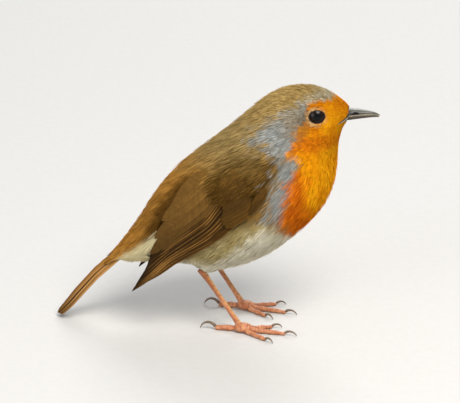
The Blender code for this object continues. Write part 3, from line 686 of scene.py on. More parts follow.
def body_chart(points):
    """Unwraps the body: place along its axis, and angle round it, both from 0 to 1."""
    beyond = 40.0  # the first and last parts of the axis run on this far
    lengths = np.linalg.norm(np.diff(BODY_AXIS, axis=0), axis=1)
    starts = np.concatenate(((0,), np.cumsum(lengths)))
    best = np.full(len(points), 1e9)
    along = np.zeros(len(points))
    angle = np.zeros(len(points))
    for k, length in enumerate(lengths):
        run = (BODY_AXIS[k + 1] - BODY_AXIS[k]) / length
        low = -beyond if k == 0 else 0.0
        high = length + (beyond if k == len(lengths) - 1 else 0.0)
        t = np.clip((points - BODY_AXIS[k]) @ run, low, high)
        off = points - BODY_AXIS[k] - t[:, None] * run
        distance = np.linalg.norm(off, axis=1)
        up = np.array((-run[2], 0, run[0]))
        up = up * (1 if up[2] > 0 or run[2] < -0.7 else -1)
        turn = np.arctan2(off[:, 1], off @ up) / (2 * math.pi) + 0.5
        closer = distance < best
        best = np.where(closer, distance, best)
        along = np.where(closer, starts[k] + t, along)
        angle = np.where(closer, turn, angle)
    along = (along + CHART_START) / (starts[-1] + CHART_EXTRA)
    return np.stack((np.clip(along, 0.01, 0.98), angle * 0.97 + 0.01), 1)


def measures(points, ragged):
    """What MARKINGS refers to. Ragged shifts the colours' edges, feather by feather."""
    x = points[:, 0]
    z = points[:, 2]
    soft = by_bill(points, EDGE_SOFTNESS)
    bib = inside(x, z, BIB) + ragged * soft
    return {
        "x": x,
        "y": np.abs(points[:, 1]),
        "z": z,
        "bill": bill_distance(points),
        "bib": bib,
        "bib_share": bib / soft,
        "bright": inside(x, z, BRIGHT) + 1.5 * ragged,
        "deep": inside(x, z, DEEP) + 1.5 * ragged,
        "grey_share": inside(x, z, GREY_BAND) / soft + 1.5 * ragged,
        "belly": inside(x, z, BELLY) + ragged * mix(2.0, 0.5, smooth(-16.0, -22.0, x)),
        "rump": inside(x, z, RUMP) + 2.0 * ragged,
        "coverts": inside(x, z, WING_AREA) + 1.2 * ragged,
        "crease": inside(x, z, BARE_VANES),
        "shoulder": np.hypot(x - SHOULDER[0], z - SHOULDER[1]) + 1.5 * ragged,
        "ear": np.hypot(x - EAR[0], (z - EAR[1]) * 0.75) + ragged,
        "eye": eye_offset(points)[0][:, 0] + 0.3 * ragged,
        "past_eye": x - EYE_CENTRE[0],
        "below": follow(WING_LOWER, x) - z + 1.5 * ragged,
    }


def markings(points, ragged=0.0):
    """Shares of each colour at points of skin or coat."""
    known = measures(points, ragged)
    shares = {}
    for name, steps in MARKINGS.items():
        share = 1.0
        for measure, low, high, *least in steps:
            share = share * mix(least[0] if least else 0.0, 1.0, smooth(low, high, known[measure]))
        shares[name] = share
    shares["deep"] = np.maximum(shares["deep"], FOLD_DEPTH * shares.pop("fold"))
    # shade is painted shade: along the wing's upper edge, and a painted shadow on the shoulder
    shares["shade"] = np.maximum(shares.pop("edge"), SHOULDER_SHADOW_DEPTH * shares.pop("shoulder_shadow"))
    return shares


# ---- materials
class Shader:
    """Short names for building a node material."""

    def __init__(self, name, roughness, **sockets):
        self.material = bpy.data.materials.new(name)
        self.material.use_nodes = True
        self.tree = self.material.node_tree
        self.surface = self.tree.nodes["Principled BSDF"]
        self.surface.inputs["Roughness"].default_value = roughness
        for key, value in sockets.items():
            self.surface.inputs[key.replace("_", " ")].default_value = value

    def feed(self, socket, value):
        if isinstance(value, bpy.types.NodeSocket):
            self.tree.links.new(value, socket)
        elif isinstance(value, tuple) and len(value) == 3 and socket.type == "RGBA":
            socket.default_value = (*value, 1.0)
        else:
            socket.default_value = value

    def node(self, kind, output, inputs, **settings):
        """A new node's output. inputs has a value or another node's output for each input."""
        made = self.tree.nodes.new(kind)
        for key, value in settings.items():
            setattr(made, key, value)
        for key, value in inputs.items():
            self.feed(made.inputs[key], value)
        return made.outputs[output]

    def value(self, name):
        return self.node("ShaderNodeAttribute", "Fac", {}, attribute_name=name)

    def math(self, operation, *values):
        return self.node("ShaderNodeMath", 0, dict(enumerate(values)), operation=operation)

    def times(self, a, b):
        return self.math("MULTIPLY", a, b)

    def span(self, value, low, high, to_low, to_high, **settings):
        """From to_low to to_high as the value goes from low to high."""
        names = ("Value", "From Min", "From Max", "To Min", "To Max")
        given = dict(zip(names, (value, low, high, to_low, to_high)))
        return self.node("ShaderNodeMapRange", 0, given, **settings)

    def step(self, low, high, value):
        """From 0 to 1, softly, as the value goes from low to high."""
        return self.span(value, low, high, 0.0, 1.0, interpolation_type="SMOOTHSTEP")

    def mix(self, share, a, b, kind="MIX"):
        """Colour a where share is 0, b where it is 1."""
        return self.node("ShaderNodeMix", 2, {0: share, 6: a, 7: b}, data_type="RGBA", blend_type=kind)

    def lay_tint_or_light(self, colour, share, strength, tint):
        """Lays a tint over a colour: the bird's own markings, and also painted light and shade."""
        return self.mix(self.times(share, strength), colour, tint)

    def noise(self, size, detail=3.0, stretch=None):
        """Noise with features about size millimetres across."""
        place = self.node("ShaderNodeTexCoord", "Object", {})
        if stretch:
            place = self.node("ShaderNodeMapping", 0, {"Vector": place, "Scale": stretch})
        inputs = {"Vector": place, "Scale": 1.0 / (size * MM), "Detail": detail}
        return self.node("ShaderNodeTexNoise", "Fac", inputs)

    def bump(self, height, depth, strength=1.0):
        inputs = {"Strength": strength, "Distance": depth * MM, "Height": height}
        self.feed(self.surface.inputs["Normal"], self.node("ShaderNodeBump", 0, inputs))

    def paint(self, colour):
        self.feed(self.surface.inputs["Base Color"], colour)
        return self.material


def coat_material():
    s = Shader("coat", 0.9, Specular_IOR_Level=0.04)
    luck = s.value("luck")
    vary = {"cloud": s.step(0.3, 0.7, s.noise(4.0)), "streak": s.step(0.2, 0.8, luck)}
    tints = {name: s.mix(vary[by], first, second) for name, (by, first, second) in TINTS.items()}
    tints.update(MARKS_AND_SHADES)
    tints["belly"] = s.lay_tint_or_light(tints["belly"], s.value("vent"), 0.7, tints["vent"])
    fleck = s.math("ADD", s.value("bright"), s.times(s.math("SUBTRACT", luck, 0.5), 0.7))
    tints["orange"] = s.mix(s.step(0.0, 1.0, fleck), tints["orange"], tints["bright"])
    tints["orange"] = s.mix(s.value("deep"), tints["orange"], tints["deep"])
    colour = tints["olive"]
    for name, strength in LAYERS:
        colour = s.lay_tint_or_light(colour, s.value(name), strength, tints[name])
    # Strands darken towards their roots: partly the grey down at a feather's base, partly painted shade
    # between the feathers; luck varies the tone at random
    shade = s.times(s.span(s.value("grow"), 0.0, 1.0, 0.78, 1.05), s.span(luck, 0.0, 1.0, 0.86, 1.14))
    shade = s.times(shade, s.span(s.value("face"), 0.0, 1.0, 1.0, 0.80))
    grey = s.node("ShaderNodeCombineXYZ", 0, {"X": shade, "Y": shade, "Z": shade})
    s.bump(s.noise(0.7, 4.0), 0.05, 0.4)
    return s.paint(s.mix(1.0, colour, grey, "MULTIPLY"))


def vane_material(name):
    """A flight feather: darker inner web, pale edge outside, fine barbs and a shaft."""
    dark, pale, fringe, fringe_from, inner_dark = VANE_LOOKS[name]
    black = (0.012, 0.006, 0.002)
    brown = (0.02, 0.009, 0.002)
    s = Shader(name, 0.7, Specular_IOR_Level=0.06)
    across = s.value("across")
    along = s.value("along")
    base = s.mix(s.span(s.noise(2.5), 0.3, 0.7, 0.25, 0.75), dark, pale)
    slope = s.math("ADD", s.times(along, 90.0), s.times(s.math("ABSOLUTE", across), -7.0))
    barbs = s.math("SINE", s.times(s.math("ADD", slope, s.times(s.noise(1.2), 1.5)), 6.283))
    place = s.node("ShaderNodeCombineXYZ", 0, {"X": slope, "Y": s.times(along, 3.0), "Z": s.value("luck")})
    streak = s.node("ShaderNodeTexNoise", "Fac", {"Vector": place, "Scale": 0.35, "Detail": 2.0})
    base = s.mix(s.span(streak, 0.3, 0.7, 0.0, 0.3), base, brown)
    base = s.lay_tint_or_light(base, s.step(0.6, 0.95, along), 0.75 * inner_dark, (0.016, 0.008, 0.002))
    edge = s.times(s.step(fringe_from, fringe_from + 0.18, across), s.value("pale"))
    edge = s.times(edge, s.span(s.noise(1.0), 0.3, 0.7, 0.7, 1.0))
    edge = s.times(edge, s.span(along, 0.75, 1.0, 1.0, 0.3))
    colour = s.mix(edge, base, fringe)
    colour = s.lay_tint_or_light(colour, s.value("dark"), 0.8, black)
    # The inner web is painted dark: its own darker colour, and on the tail also painted shade in the gap
    # between the two halves
    colour = s.lay_tint_or_light(colour, s.step(-0.45, -0.75, across), inner_dark, black)
    colour = s.lay_tint_or_light(colour, s.step(0.93, 1.0, across), 0.2, (0.02, 0.01, 0.003))
    colour = s.mix(s.span(barbs, -1, 1, 0.0, 0.12), colour, (0.01, 0.005, 0.0))
    shaft = s.step(0.07, 0.02, s.math("ABSOLUTE", s.math("SUBTRACT", across, 0.15)))
    colour = s.lay_tint_or_light(colour, shaft, 0.25, (0.02, 0.009, 0.003))
    s.bump(barbs, 0.03, 0.3)
    return s.paint(colour)


def horn_material():
    s = Shader("bill_horn", 0.32, Specular_IOR_Level=0.3)
    fine = s.noise(0.35, 4.0, (0.3, 1, 1))
    colour = s.mix(s.step(0.3, 0.7, s.noise(2.5)), (0.030, 0.027, 0.022), (0.060, 0.054, 0.042))
    # ridge is a painted highlight along the top of the upper bill
    colour = s.lay_tint_or_light(colour, s.value("ridge"), 0.55, (0.26, 0.265, 0.235))
    # low darkens the lower half back from its tip: partly its own dark colour, partly painted shade under the
    # upper half
    colour = s.lay_tint_or_light(colour, s.value("low"), 0.8, (0.045, 0.026, 0.014))
    colour = s.lay_tint_or_light(colour, s.value("edge"), 0.8, (0.46, 0.40, 0.28))
    colour = s.lay_tint_or_light(colour, s.step(0.4, 0.75, fine), 0.35, (0.03, 0.026, 0.02))
    # slit paints the nostril and the upper side of the mouth's line near black, as painted shade in these
    # openings
    colour = s.mix(s.value("slit"), colour, (0.008, 0.007, 0.006))
    s.bump(fine, 0.03, 0.3)
    return s.paint(colour)


def eye_material():
    s = Shader("eye_black", 0.06, Specular_IOR_Level=0.12, Coat_Weight=0.1, Coat_Roughness=0.02)
    ring = s.value("ring")
    iris = s.mix(s.step(0.3, 0.7, s.noise(0.25, 5.0)), (0.006, 0.003, 0.002), (0.015, 0.006, 0.003))
    colour = s.mix(s.step(0.50, 0.58, ring), (0.002, 0.002, 0.002), iris)
    return s.paint(s.mix(s.step(0.85, 0.98, ring), colour, (0.004, 0.003, 0.003)))


def leg_material():
    s = Shader("leg_scale", 0.45, Specular_IOR_Level=0.3, Coat_Weight=0.08, Coat_Roughness=0.4)
    fine = s.noise(0.3, 4.0)
    groove = s.value("groove")
    colour = s.mix(s.step(0.3, 0.7, s.noise(1.6)), (0.38, 0.125, 0.052), (0.57, 0.25, 0.115))
    colour = s.lay_tint_or_light(colour, s.value("high"), 0.8, (0.27, 0.085, 0.028))
    colour = s.lay_tint_or_light(colour, s.value("lit"), 0.85, (0.64, 0.33, 0.10))
    colour = s.lay_tint_or_light(colour, s.step(0.45, 0.75, fine), 0.45, (0.19, 0.055, 0.03))
    colour = s.lay_tint_or_light(colour, groove, 0.45, (0.13, 0.036, 0.018))
    s.bump(s.math("SUBTRACT", s.times(fine, 0.3), groove), 0.08, 0.7)
    return s.paint(colour)


def mottled_material(name, roughness, gloss, size, colours, bump):
    """A plain material that varies between two colours at one scale, as its bump does."""
    s = Shader(name, roughness, Specular_IOR_Level=gloss)
    fine = s.noise(size, 4.0)
    s.bump(fine, *bump)
    return s.paint(s.mix(s.step(0.3, 0.7, fine), *colours))


def lid_material():
    colours = ((0.012, 0.008, 0.005), (0.04, 0.026, 0.016))
    return mottled_material("eye_lid", 0.55, 0.3, 0.2, colours, (0.04, 0.6))


def claw_material():
    colours = ((0.10, 0.06, 0.036), (0.20, 0.135, 0.085))
    return mottled_material("claw_horn", 0.35, 0.4, 0.4, colours, (0.02, 0.3))


def floor_material():
    s = Shader("floor", 0.9, Specular_IOR_Level=0.2)
    grain = s.noise(3.0, 5.0)
    s.bump(grain, 0.05, 0.2)
    return s.paint(s.mix(grain, (0.50, 0.49, 0.475), (0.54, 0.53, 0.515)))


# ---- skin
def build_skin(mesh, material):
    body = Surface(mesh)
    points = body.points - body.normals * coat_depth(body.points)[:, None]
    middling = np.full(len(points), 0.5)
    move_points(mesh, points)
    finish_mesh(mesh, markings(points) | {"grow": middling, "luck": middling})
    new_piece("skin", mesh, material, FLESH)


# ---- coat
def root_share(points):
    """No feathers grow on the eye, in the bill or on the tail."""
    x = points[..., 0]
    z = points[..., 2]
    bill = bill_distance(points)
    distance, away = eye_offset(points)
    eye = (distance < eye_rim(away) - 0.05)[..., 0] & (bill < EYE_REACH)
    tail = x < TAIL_BARE - TAIL_RAGGED * rng.random(x.shape)
    gape = (np.abs(z - follow(GAPE, x)) < mix(*GAPE_BARE, x - 44)) & (x > GAPE[0][0]) & (bill < GAPE_REACH)
    return np.where(eye | tail | gape | (bill < BILL_BARE), 0.0, 1.0)


def has_room(taken, cell, place, gap):
    """True if no root taken so far lies closer to the place than gap."""
    i, j, k = cell
    x, y, z = place
    reach = range(-int(gap / ROOT_CELL) - 1, int(gap / ROOT_CELL) + 2)
    for di, dj, dk in product(reach, reach, reach):
        for qx, qy, qz in taken.get((i + di, j + dj, k + dk), ()):
            if (qx - x) ** 2 + (qy - y) ** 2 + (qz - z) ** 2 < gap * gap:
                return False
    return True


def random_roots(surface):
    """Points spread over the surface, no two closer than the gap between feathers there."""
    corners = surface.points[surface.triangles]
    areas = np.linalg.norm(np.cross(corners[:, 1] - corners[:, 0], corners[:, 2] - corners[:, 0]), axis=1)
    centres = corners.mean(1)
    weights = areas / by_bill(centres, FEATHER_GAP) ** 2 * root_share(centres)
    pick = rng.choice(len(corners), ROOT_TRIES, p=weights / weights.sum())
    a, b = rng.random((2, ROOT_TRIES, 1))
    flip = a + b > 1
    a = np.where(flip, 1 - a, a)
    b = np.where(flip, 1 - b, b)
    chosen = corners[pick]
    points = chosen[:, 0] + a * (chosen[:, 1] - chosen[:, 0]) + b * (chosen[:, 2] - chosen[:, 0])
    gaps = by_bill(points, FEATHER_GAP).tolist()
    cells = np.floor(points / ROOT_CELL).astype(int).tolist()
    taken = {}
    kept = []
    for index, (cell, place, gap) in enumerate(zip(cells, points.tolist(), gaps)):
        if has_room(taken, cell, place, gap):
            taken.setdefault(tuple(cell), []).append(place)
            kept.append(index)
    return points[kept]


def off_vanes(points):
    """Leaves out roots on the wing's long feathers and the tail."""
    free = np.ones(len(points), bool)
    for name in VANE_NODES:
        tree = node_tree(name)
        near = [tree.find_nearest(p, VANE_NEAR)[0] is not None for p in points.tolist()]
        free &= ~np.array(near)
    return points[free]


def under_wing(points, margin):
    """True below the wing's lower edge and up to margin behind it, where feathers run in under the wing."""
    return (points[:, 0] < WING_LOWER[-1][0]) & (points[:, 2] < follow(WING_LOWER, points[:, 0]) + margin)


def on_wing(points):
    """True where the wing's long feathers lie bare."""
    x = points[:, 0]
    beside = np.abs(points[:, 1]) > mix(WING_SIDE, WING_SIDE_REAR, smooth(-12.0, -18.0, x))
    return beside & (inside(x, points[:, 2], BARE_VANES) > 0)


def lay_paths(surface, roots):
    """Marches every feather's middle line over the surface, following the lie of the coat."""
    place, normal = surface.nearest(roots)
    length = feather_length(place) * rng.uniform(*LENGTH_SPREAD, len(place))
    step = (length / (STATIONS - 1))[:, None]
    places = [place]
    normals = [normal]
    lies = [flow(place, normal)]
    swing = rng.normal(0, SWING, (len(place), 1))
    for _ in range(STATIONS - 1):
        heading = lies[-1] + np.cross(normals[-1], lies[-1]) * swing
        place, normal = surface.nearest(places[-1] + unit(heading) * step)
        places.append(place)
        normals.append(normal)
        lies.append(flow(place, normal))
    return np.stack(places, 1), np.stack(normals, 1), np.stack(lies, 1), length


def fan_strands(surface, roots):
    """Spreads each feather into strands: places along each, and shares of the feather's length there."""
    places, normals, lies, length = lay_paths(surface, roots)
    count = len(roots)
    fan = np.linspace(-1, 1, STRANDS) + rng.uniform(-FAN_SPREAD, FAN_SPREAD, (count, STRANDS))
    knot = fan.reshape(count, -1, CLUMP).mean(2)
    knot = np.repeat(knot + rng.uniform(-KNOT_SPREAD, KNOT_SPREAD, knot.shape), CLUMP, 1)
    reach = (1 - FAN_SHORT * fan ** 2) * rng.uniform(*REACH_SPREAD, (count, STRANDS))
    t = np.linspace(0, 1, STATIONS) * reach[:, :, None]
    slot = np.clip(t * (STATIONS - 1), 0, STATIONS - 1 - 1e-6)
    low = np.floor(slot).astype(int)
    part = (slot - low)[..., None]
    row = np.arange(count)[:, None, None]

    def along(rows):
        return rows[row, low] * (1 - part) + rows[row, low + 1] * part

    centre = along(places)
    up = unit(along(normals))
    side = np.cross(up, unit(tangent(along(lies), up)))
    length = length[:, None, None]
    gathered = mix(fan[:, :, None], knot[:, :, None], GATHER * t)
    spread = gathered * (FAN_HALF * length) * (0.25 + 0.75 * np.sin(t * 1.45))
    wave = rng.normal(0, WAVE, (count, STRANDS, 1)) * length * t ** 1.5
    centre = centre + side * (spread + wave)[..., None]
    return centre.reshape(-1, STATIONS, 3), t.reshape(-1, STATIONS)


def lay_coat(surface, roots):
    """Strands over one surface: paths, the surface's normals there, shares of length, strands' numbers."""
    path, t = fan_strands(surface, roots)
    path = surface.nearest(path)[0]
    path, normal = surface.nearest(clear_eye(path))
    return path, normal, t, np.arange(len(path))


def coat_strands(surface, bare):
    """All strands, as lay_coat gives them, and the number of feathers."""
    upper = off_vanes(random_roots(surface))
    upper = upper[~under_wing(upper, 0.0) & ~on_wing(upper)]
    lower = random_roots(bare)
    lower = lower[under_wing(lower, UNDER_WING)]
    above = lay_coat(surface, upper)
    below = lay_coat(bare, lower)
    keep_above = ~on_wing(above[0][:, 2])
    middle = below[0][:, 2]
    beside = (np.abs(middle[:, 1]) > WING_SIDE) & (middle[:, 0] < WING_LOWER[-1][0])
    keep_below = ~beside | under_wing(middle, UNDER_WING_REACH)
    below[3][:] += len(upper) * STRANDS
    strands = [np.concatenate((a[keep_above], b[keep_below])) for a, b in zip(above, below)]
    return strands, len(upper) + len(lower)


def chance(strand, feathers, by_feather, by_clump, by_strand):
    """A random number for each strand, partly shared by a feather's strands and by a clump's."""
    total = rng.normal(0, by_feather, feathers)[strand // STRANDS]
    if by_clump:
        total = total + rng.normal(0, by_clump, feathers * STRANDS // CLUMP)[strand // CLUMP]
    return total + rng.normal(0, by_strand, len(strand))


def by_corner(rows):
    """Repeats each station's row for its three corners, and keeps the last row for the tip."""
    return np.concatenate((np.repeat(rows[:, :-1], 3, 1), rows[:, -1:]), 1)


def with_tip(corners, tip):
    """Rows for the three corners of each station, then one for the tip, for every strand."""
    rows = np.stack(corners, 2)[:, :-1].reshape(len(tip), -1, 3)
    return np.concatenate((rows, tip[:, -1:]), 1)


def strand_tubes(path, normal, t, lift, width):
    """Three sided tubes with pointed ends that rise out of the skin: their points and shading normals."""
    rise = np.clip(1.15 * t, 0, 1) ** 0.8 * 1.04 - 0.06  # from just under the skin, as a share of the depth
    height = coat_depth(path) * (rise - 1 + lift[:, None] * t)
    middle = path + normal * height[..., None]
    run = unit(np.gradient(middle, axis=1))
    side = unit(np.cross(normal, run))
    up = np.cross(run, side)
    width = (width[:, None] * STRAND_PROFILE)[..., None]
    corners = (middle - side * width * 0.5, middle + up * width * RIDGE, middle + side * width * 0.5)
    facing = (unit(up - RIDGE_LEAN * side), up, unit(up + RIDGE_LEAN * side))
    return with_tip(corners, middle), unit(with_tip(facing, up) + BODY_SHADING * by_corner(normal))


def strand_faces():
    """Triangles of one strand's tube."""
    last = 3 * (STATIONS - 2)
    faces = []
    for here in range(0, last, 3):
        for a, b in ((0, 1), (1, 2), (2, 0)):
            faces += [(here + a, here + b, here + 3 + b), (here + a, here + 3 + b, here + 3 + a)]
    faces += [(last + a, last + b, last + 3) for a, b in ((0, 1), (1, 2), (2, 0))]
    faces.append((2, 1, 0))
    return np.array(faces)[:, ::-1]


def build_coat(surface, bare, material):
    """surface is the body with its wings and tail, bare the body without its wings."""
    (path, normal, t, strand), feathers = coat_strands(surface, bare)
    lift = chance(strand, feathers, *LIFT_SPREAD)
    width = by_bill(path[:, 0], STRAND_WIDTH) * rng.uniform(*WIDTH_SPREAD, len(path))
    points, normals = strand_tubes(path, normal, t, lift, width)
    values = markings(path[:, 2], chance(strand, feathers, *RAGGED_SPREAD))
    values["luck"] = np.clip(0.5 + chance(strand, feathers, *LUCK_SPREAD), 0, 1)
    per = points.shape[1]
    rows = {key: np.repeat(numbers[:, None], per, 1) for key, numbers in values.items()}
    rows["grow"] = by_corner(t)
    chart = body_chart(path[:, 0])
    across = np.broadcast_to([0.0, 0.5, 1.0] * (STATIONS - 1) + [0.5], rows["grow"].shape)
    uv = chart[:, None] + BAKE_PATCH * np.stack((rows["grow"], across), 2)
    split_coat({"points": points, "normals": normals, "uv": uv, **rows}, chart[:, 0], material)


def split_coat(rows, place, material):
    """Cuts the coat into pieces of at most PIECE_LIMIT triangles, from the bill back."""
    faces = strand_faces()
    per = rows["points"].shape[1]
    limit = PIECE_LIMIT // len(faces)
    groups = np.array_split(np.argsort(place, kind="stable"), math.ceil(len(place) / limit))
    for number, group in enumerate(groups, 1):
        group = np.sort(group)
        own = {key: row[group].reshape(-1, *row.shape[2:]) for key, row in rows.items()}
        every = faces + per * np.arange(len(group))[:, None, None]
        mesh = new_mesh(f"coat_{number}", own.pop("points"), every.reshape(-1, 3), **own)
        new_piece(f"coat_{number}", mesh, material)


# ---- wings and tail
def blur(field, rounds):
    for _ in range(rounds):
        padded = np.pad(field, 1, mode="edge")
        field = (padded[2:, 1:-1] + padded[:-2, 1:-1] + padded[1:-1, 2:] + padded[1:-1, :-2] + 2 * field) / 6
    return field


def spread_out(height):
    """Spreads the known heights, above 0, into the empty places, then smooths the whole."""
    known = (height > 0).astype(float)
    for _ in range(SHEET_SPREAD):
        near = blur(known, 1)
        spread = blur(height * known, 1) / np.maximum(near, 1e-9)
        fresh = (known == 0) & (near > 1e-6)
        height = np.where(fresh, spread, height)
        known = np.where(fresh, 1.0, known)
    return blur(height, SHEET_BLUR)


class Sheet:
    """The right wing's outer face as a smooth height |y| over (x, z)."""

    def __init__(self):
        self.x = np.arange(SHEET_LOW[0], SHEET_HIGH[0], SHEET_STEP)
        self.z = np.arange(SHEET_LOW[1], SHEET_HIGH[1], SHEET_STEP)
        wing = self.reach(WING_NODES)
        body = self.reach(("trunk", "neck"))
        over_body = (wing == 0) & (body > 0) & (self.z[None, :] > WING_FREE_BELOW)
        self.height = spread_out(np.where(over_body, body + WING_OVER_BODY, wing))

    def reach(self, names):
        """How far these nodes stand out from the middle plane at each place."""
        trees = [node_tree(name) for name in names]
        height = np.zeros((len(self.x), len(self.z)))
        for i, x in enumerate(self.x):
            for j, z in enumerate(self.z):
                hits = [tree.ray_cast((x, -60.0, z), (0, 1, 0))[0] for tree in trees]
                height[i, j] = max([-hit[1] for hit in hits if hit is not None], default=0.0)
        return height

    def at(self, x, z):
        i = np.clip((x - self.x[0]) / SHEET_STEP, 0, len(self.x) - 1.001)
        j = np.clip((z - self.z[0]) / SHEET_STEP, 0, len(self.z) - 1.001)
        a = i.astype(int)
        b = j.astype(int)
        h = self.height
        low = mix(h[a, b], h[a, b + 1], j - b)
        high = mix(h[a + 1, b], h[a + 1, b + 1], j - b)
        return mix(low, high, i - a)


def vane_outline(u, narrow, point):
    """A feather's half width along its length, as a share of the widest. The tip narrows from narrow on."""
    start = 0.35 + 0.65 * smooth(0.0, 0.25, u)
    tip = np.clip((u - narrow) / (1 - narrow), 0, 1)
    return start * np.clip(1 - tip ** 1.8, 0, 1) ** point


def vane_grid():
    """Places along a feather, from 0 to 1 and closer together at the tip, and across it, from -1 to 1."""
    u = 1 - (1 - np.linspace(0, 1, VANE_ALONG + 1)) ** 1.25
    v = np.linspace(-1, 1, VANE_ACROSS + 1)
    return np.meshgrid(u, v, indexing="ij")


def vane_faces():
    """Quads of a closed blade: an upper and a lower grid joined round the rim."""
    index = np.arange((VANE_ALONG + 1) * (VANE_ACROSS + 1)).reshape(VANE_ALONG + 1, VANE_ACROSS + 1)
    top = np.stack((index[:-1, :-1], index[1:, :-1], index[1:, 1:], index[:-1, 1:]), -1).reshape(-1, 4)
    rim = np.concatenate((index[:, 0], index[-1, 1:], index[-2::-1, -1], index[0, -2:0:-1]))
    after = np.roll(rim, -1)
    wall = np.stack((rim, rim + index.size, after + index.size, after), -1)
    return np.concatenate((top, top[:, [0, 3, 2, 1]] + index.size, wall))


class Vanes:
    """Gathers blades into one mesh. The bake's map holds them in rows of cells."""

    def __init__(self, cells):
        self.cells = cells
        self.blades = []

    def add(self, sign, top, bottom, pale, dark):
        """One blade on the bird's side sign: faces over vane_grid, strength of the pale edge, darkness."""
        u, v = vane_grid()
        if sign > 0:
            top = top[:, ::-1]
            bottom = bottom[:, ::-1]
            v = -v
        row, column = divmod(len(self.blades), self.cells)
        up = (row + 0.03 + 0.94 * u) / self.cells
        sides = [(column + 0.04 + 0.46 * face + 0.22 * (v + 1)) / self.cells for face in (0, 1)]
        self.blades.append({
            "points": np.concatenate((top.reshape(-1, 3), bottom.reshape(-1, 3))),
            "uv": np.concatenate([np.stack((side.ravel(), up.ravel()), 1) for side in sides]),
            "across": np.tile(v.ravel(), 2),
            "along": np.tile(u.ravel(), 2),
            "luck": np.full(v.size * 2, rng.random()),
            "pale": np.full(v.size * 2, pale),
            "dark": np.tile(np.broadcast_to(dark, v.shape).ravel(), 2),
        })

    def piece(self, name, material, slot, replaces):
        size = len(self.blades[0]["points"])
        faces = np.concatenate([vane_faces() + size * k for k in range(len(self.blades))])
        rows = {key: np.concatenate([blade[key] for blade in self.blades]) for key in self.blades[0]}
        new_piece(name, new_mesh(name, rows.pop("points"), faces, **rows), material, replaces)


def feather_line(places, u):
    """A smooth line through the places: x and z at shares u of its length, and unit directions there."""
    x, z = np.transpose(places)
    curve = np.polyfit(x, z, len(places) - 1)
    fine_x = np.linspace(x[0], x[-1], 80)
    fine_z = np.polyval(curve, fine_x)
    length = np.concatenate(((0,), np.cumsum(np.hypot(np.diff(fine_x), np.diff(fine_z)))))
    here_x = np.interp(u * length[-1], length, fine_x)
    here_z = np.interp(u * length[-1], length, fine_z)
    slope = np.polyval(np.polyder(curve), here_x)
    return here_x, here_z, unit(np.stack((-np.ones_like(slope), -slope), -1))


def add_wing_vane(vanes, sheet, sign, row):
    """One feather of the wing, laid on the wing's outer face."""
    places, half, layer, narrow, pale, dark = row
    u, v = vane_grid()
    x, z, run = feather_line(places, u)
    width = half * vane_outline(u, narrow, 0.8)
    ripple = VANE_RIPPLE * np.sin(u * 23 + rng.random() * 6) * np.abs(v) ** 3
    off = width * v + ripple
    x = x - run[..., 1] * off
    z = z + run[..., 0] * off
    camber = VANE_CAMBER * np.abs(v) ** 1.8 * np.minimum(width / 1.5, 1.2)
    shaft = VANE_SHAFT * peak(v, 0.15, 0.07) * (1 - 0.6 * u)
    short = len(places) == 2
    droop = short * mix(*SHORT_DROOP, smooth(*SHORT_WIDTHS, half)) * smooth(0.5, 1.0, u)
    lift = layer - WING_GROUND - camber + shaft - droop - BASE_SINK * smooth(0.25, 0.0, u)
    y = sheet.at(x, z) + lift
    thick = VANE_THICK + VANE_THICKER * (1 - np.abs(v))
    top = np.stack((x, sign * y, z), -1)
    bottom = np.stack((x, sign * (y - thick), z), -1)
    vanes.add(sign, top, bottom, pale, dark)


def build_wings(sheet):
    materials = {name: vane_material(look[0]) for name, look in WING_PIECES.items()}
    for side, sign in SIDES:
        for name, (_, cells, kinds, replaced) in WING_PIECES.items():
            vanes = Vanes(cells)
            for kind in kinds:
                for row in FEATHER_ROWS[kind]:
                    add_wing_vane(vanes, sheet, sign, row)
            replaced = [f"{node}_{side}" for node in replaced]
            vanes.piece(f"wing_{name}_{side}", materials[name], "flight_feather", replaced)


def add_tail_vane(vanes, sign, number):
    """One feather of the tail, numbered from the middle out, laid under its inner neighbour."""
    lengths = np.concatenate(((0,), np.cumsum(np.linalg.norm(np.diff(TAIL_PATH[:, :2], axis=0), axis=1))))
    u, v = vane_grid()
    place = u * (lengths[-1] - (TAIL_NOTCH if number == 0 else TAIL_STEP * number))

    def ridge(at):
        return np.stack([np.interp(at, lengths, column) for column in TAIL_PATH.T], -1)

    run = unit((ridge(place + 1.0) - ridge(place - 1.0))[..., :2])
    up = np.stack((-run[..., 1], run[..., 0]), -1)
    up = np.where(up[..., 1:] < 0, -up, up)
    x, z, half = np.moveaxis(ridge(place), -1, 0)
    middle = half * mix(*TAIL_PLACES, number / (TAIL_FEATHERS - 1))
    y = middle + half * TAIL_HALF * vane_outline(u, 0.80, 0.7) * v
    arch = TAIL_ARCH * (y / np.maximum(half, 1.0)) ** 2
    layer = -TAIL_LAYER * number - (TAIL_LAYER_LEFT if sign > 0 else 0.0)
    shaft = TAIL_SHAFT * peak(v, 0.2, 0.06) * (1 - 0.5 * u)
    lift = layer - arch - VANE_CAMBER * np.abs(v) ** 1.8 + shaft
    top, bottom = (
        np.stack((x + up[..., 0] * height, sign * y, np.maximum(z + up[..., 1] * height, floor)), -1)
        for height, floor in ((lift, 0.15), (lift - TAIL_THICK, 0.05))
    )
    vanes.add(sign, top, bottom, TAIL_PALE[number], TAIL_DARK[number] * smooth(0.3, 0.7, u))


def build_tail():
    vanes = Vanes(4)
    for number in reversed(range(TAIL_FEATHERS)):
        for sign in (-1, 1):
            add_tail_vane(vanes, sign, number)
    vanes.piece("tail_feathers", vane_material("tail_feather"), "tail_feather", ["tail"])


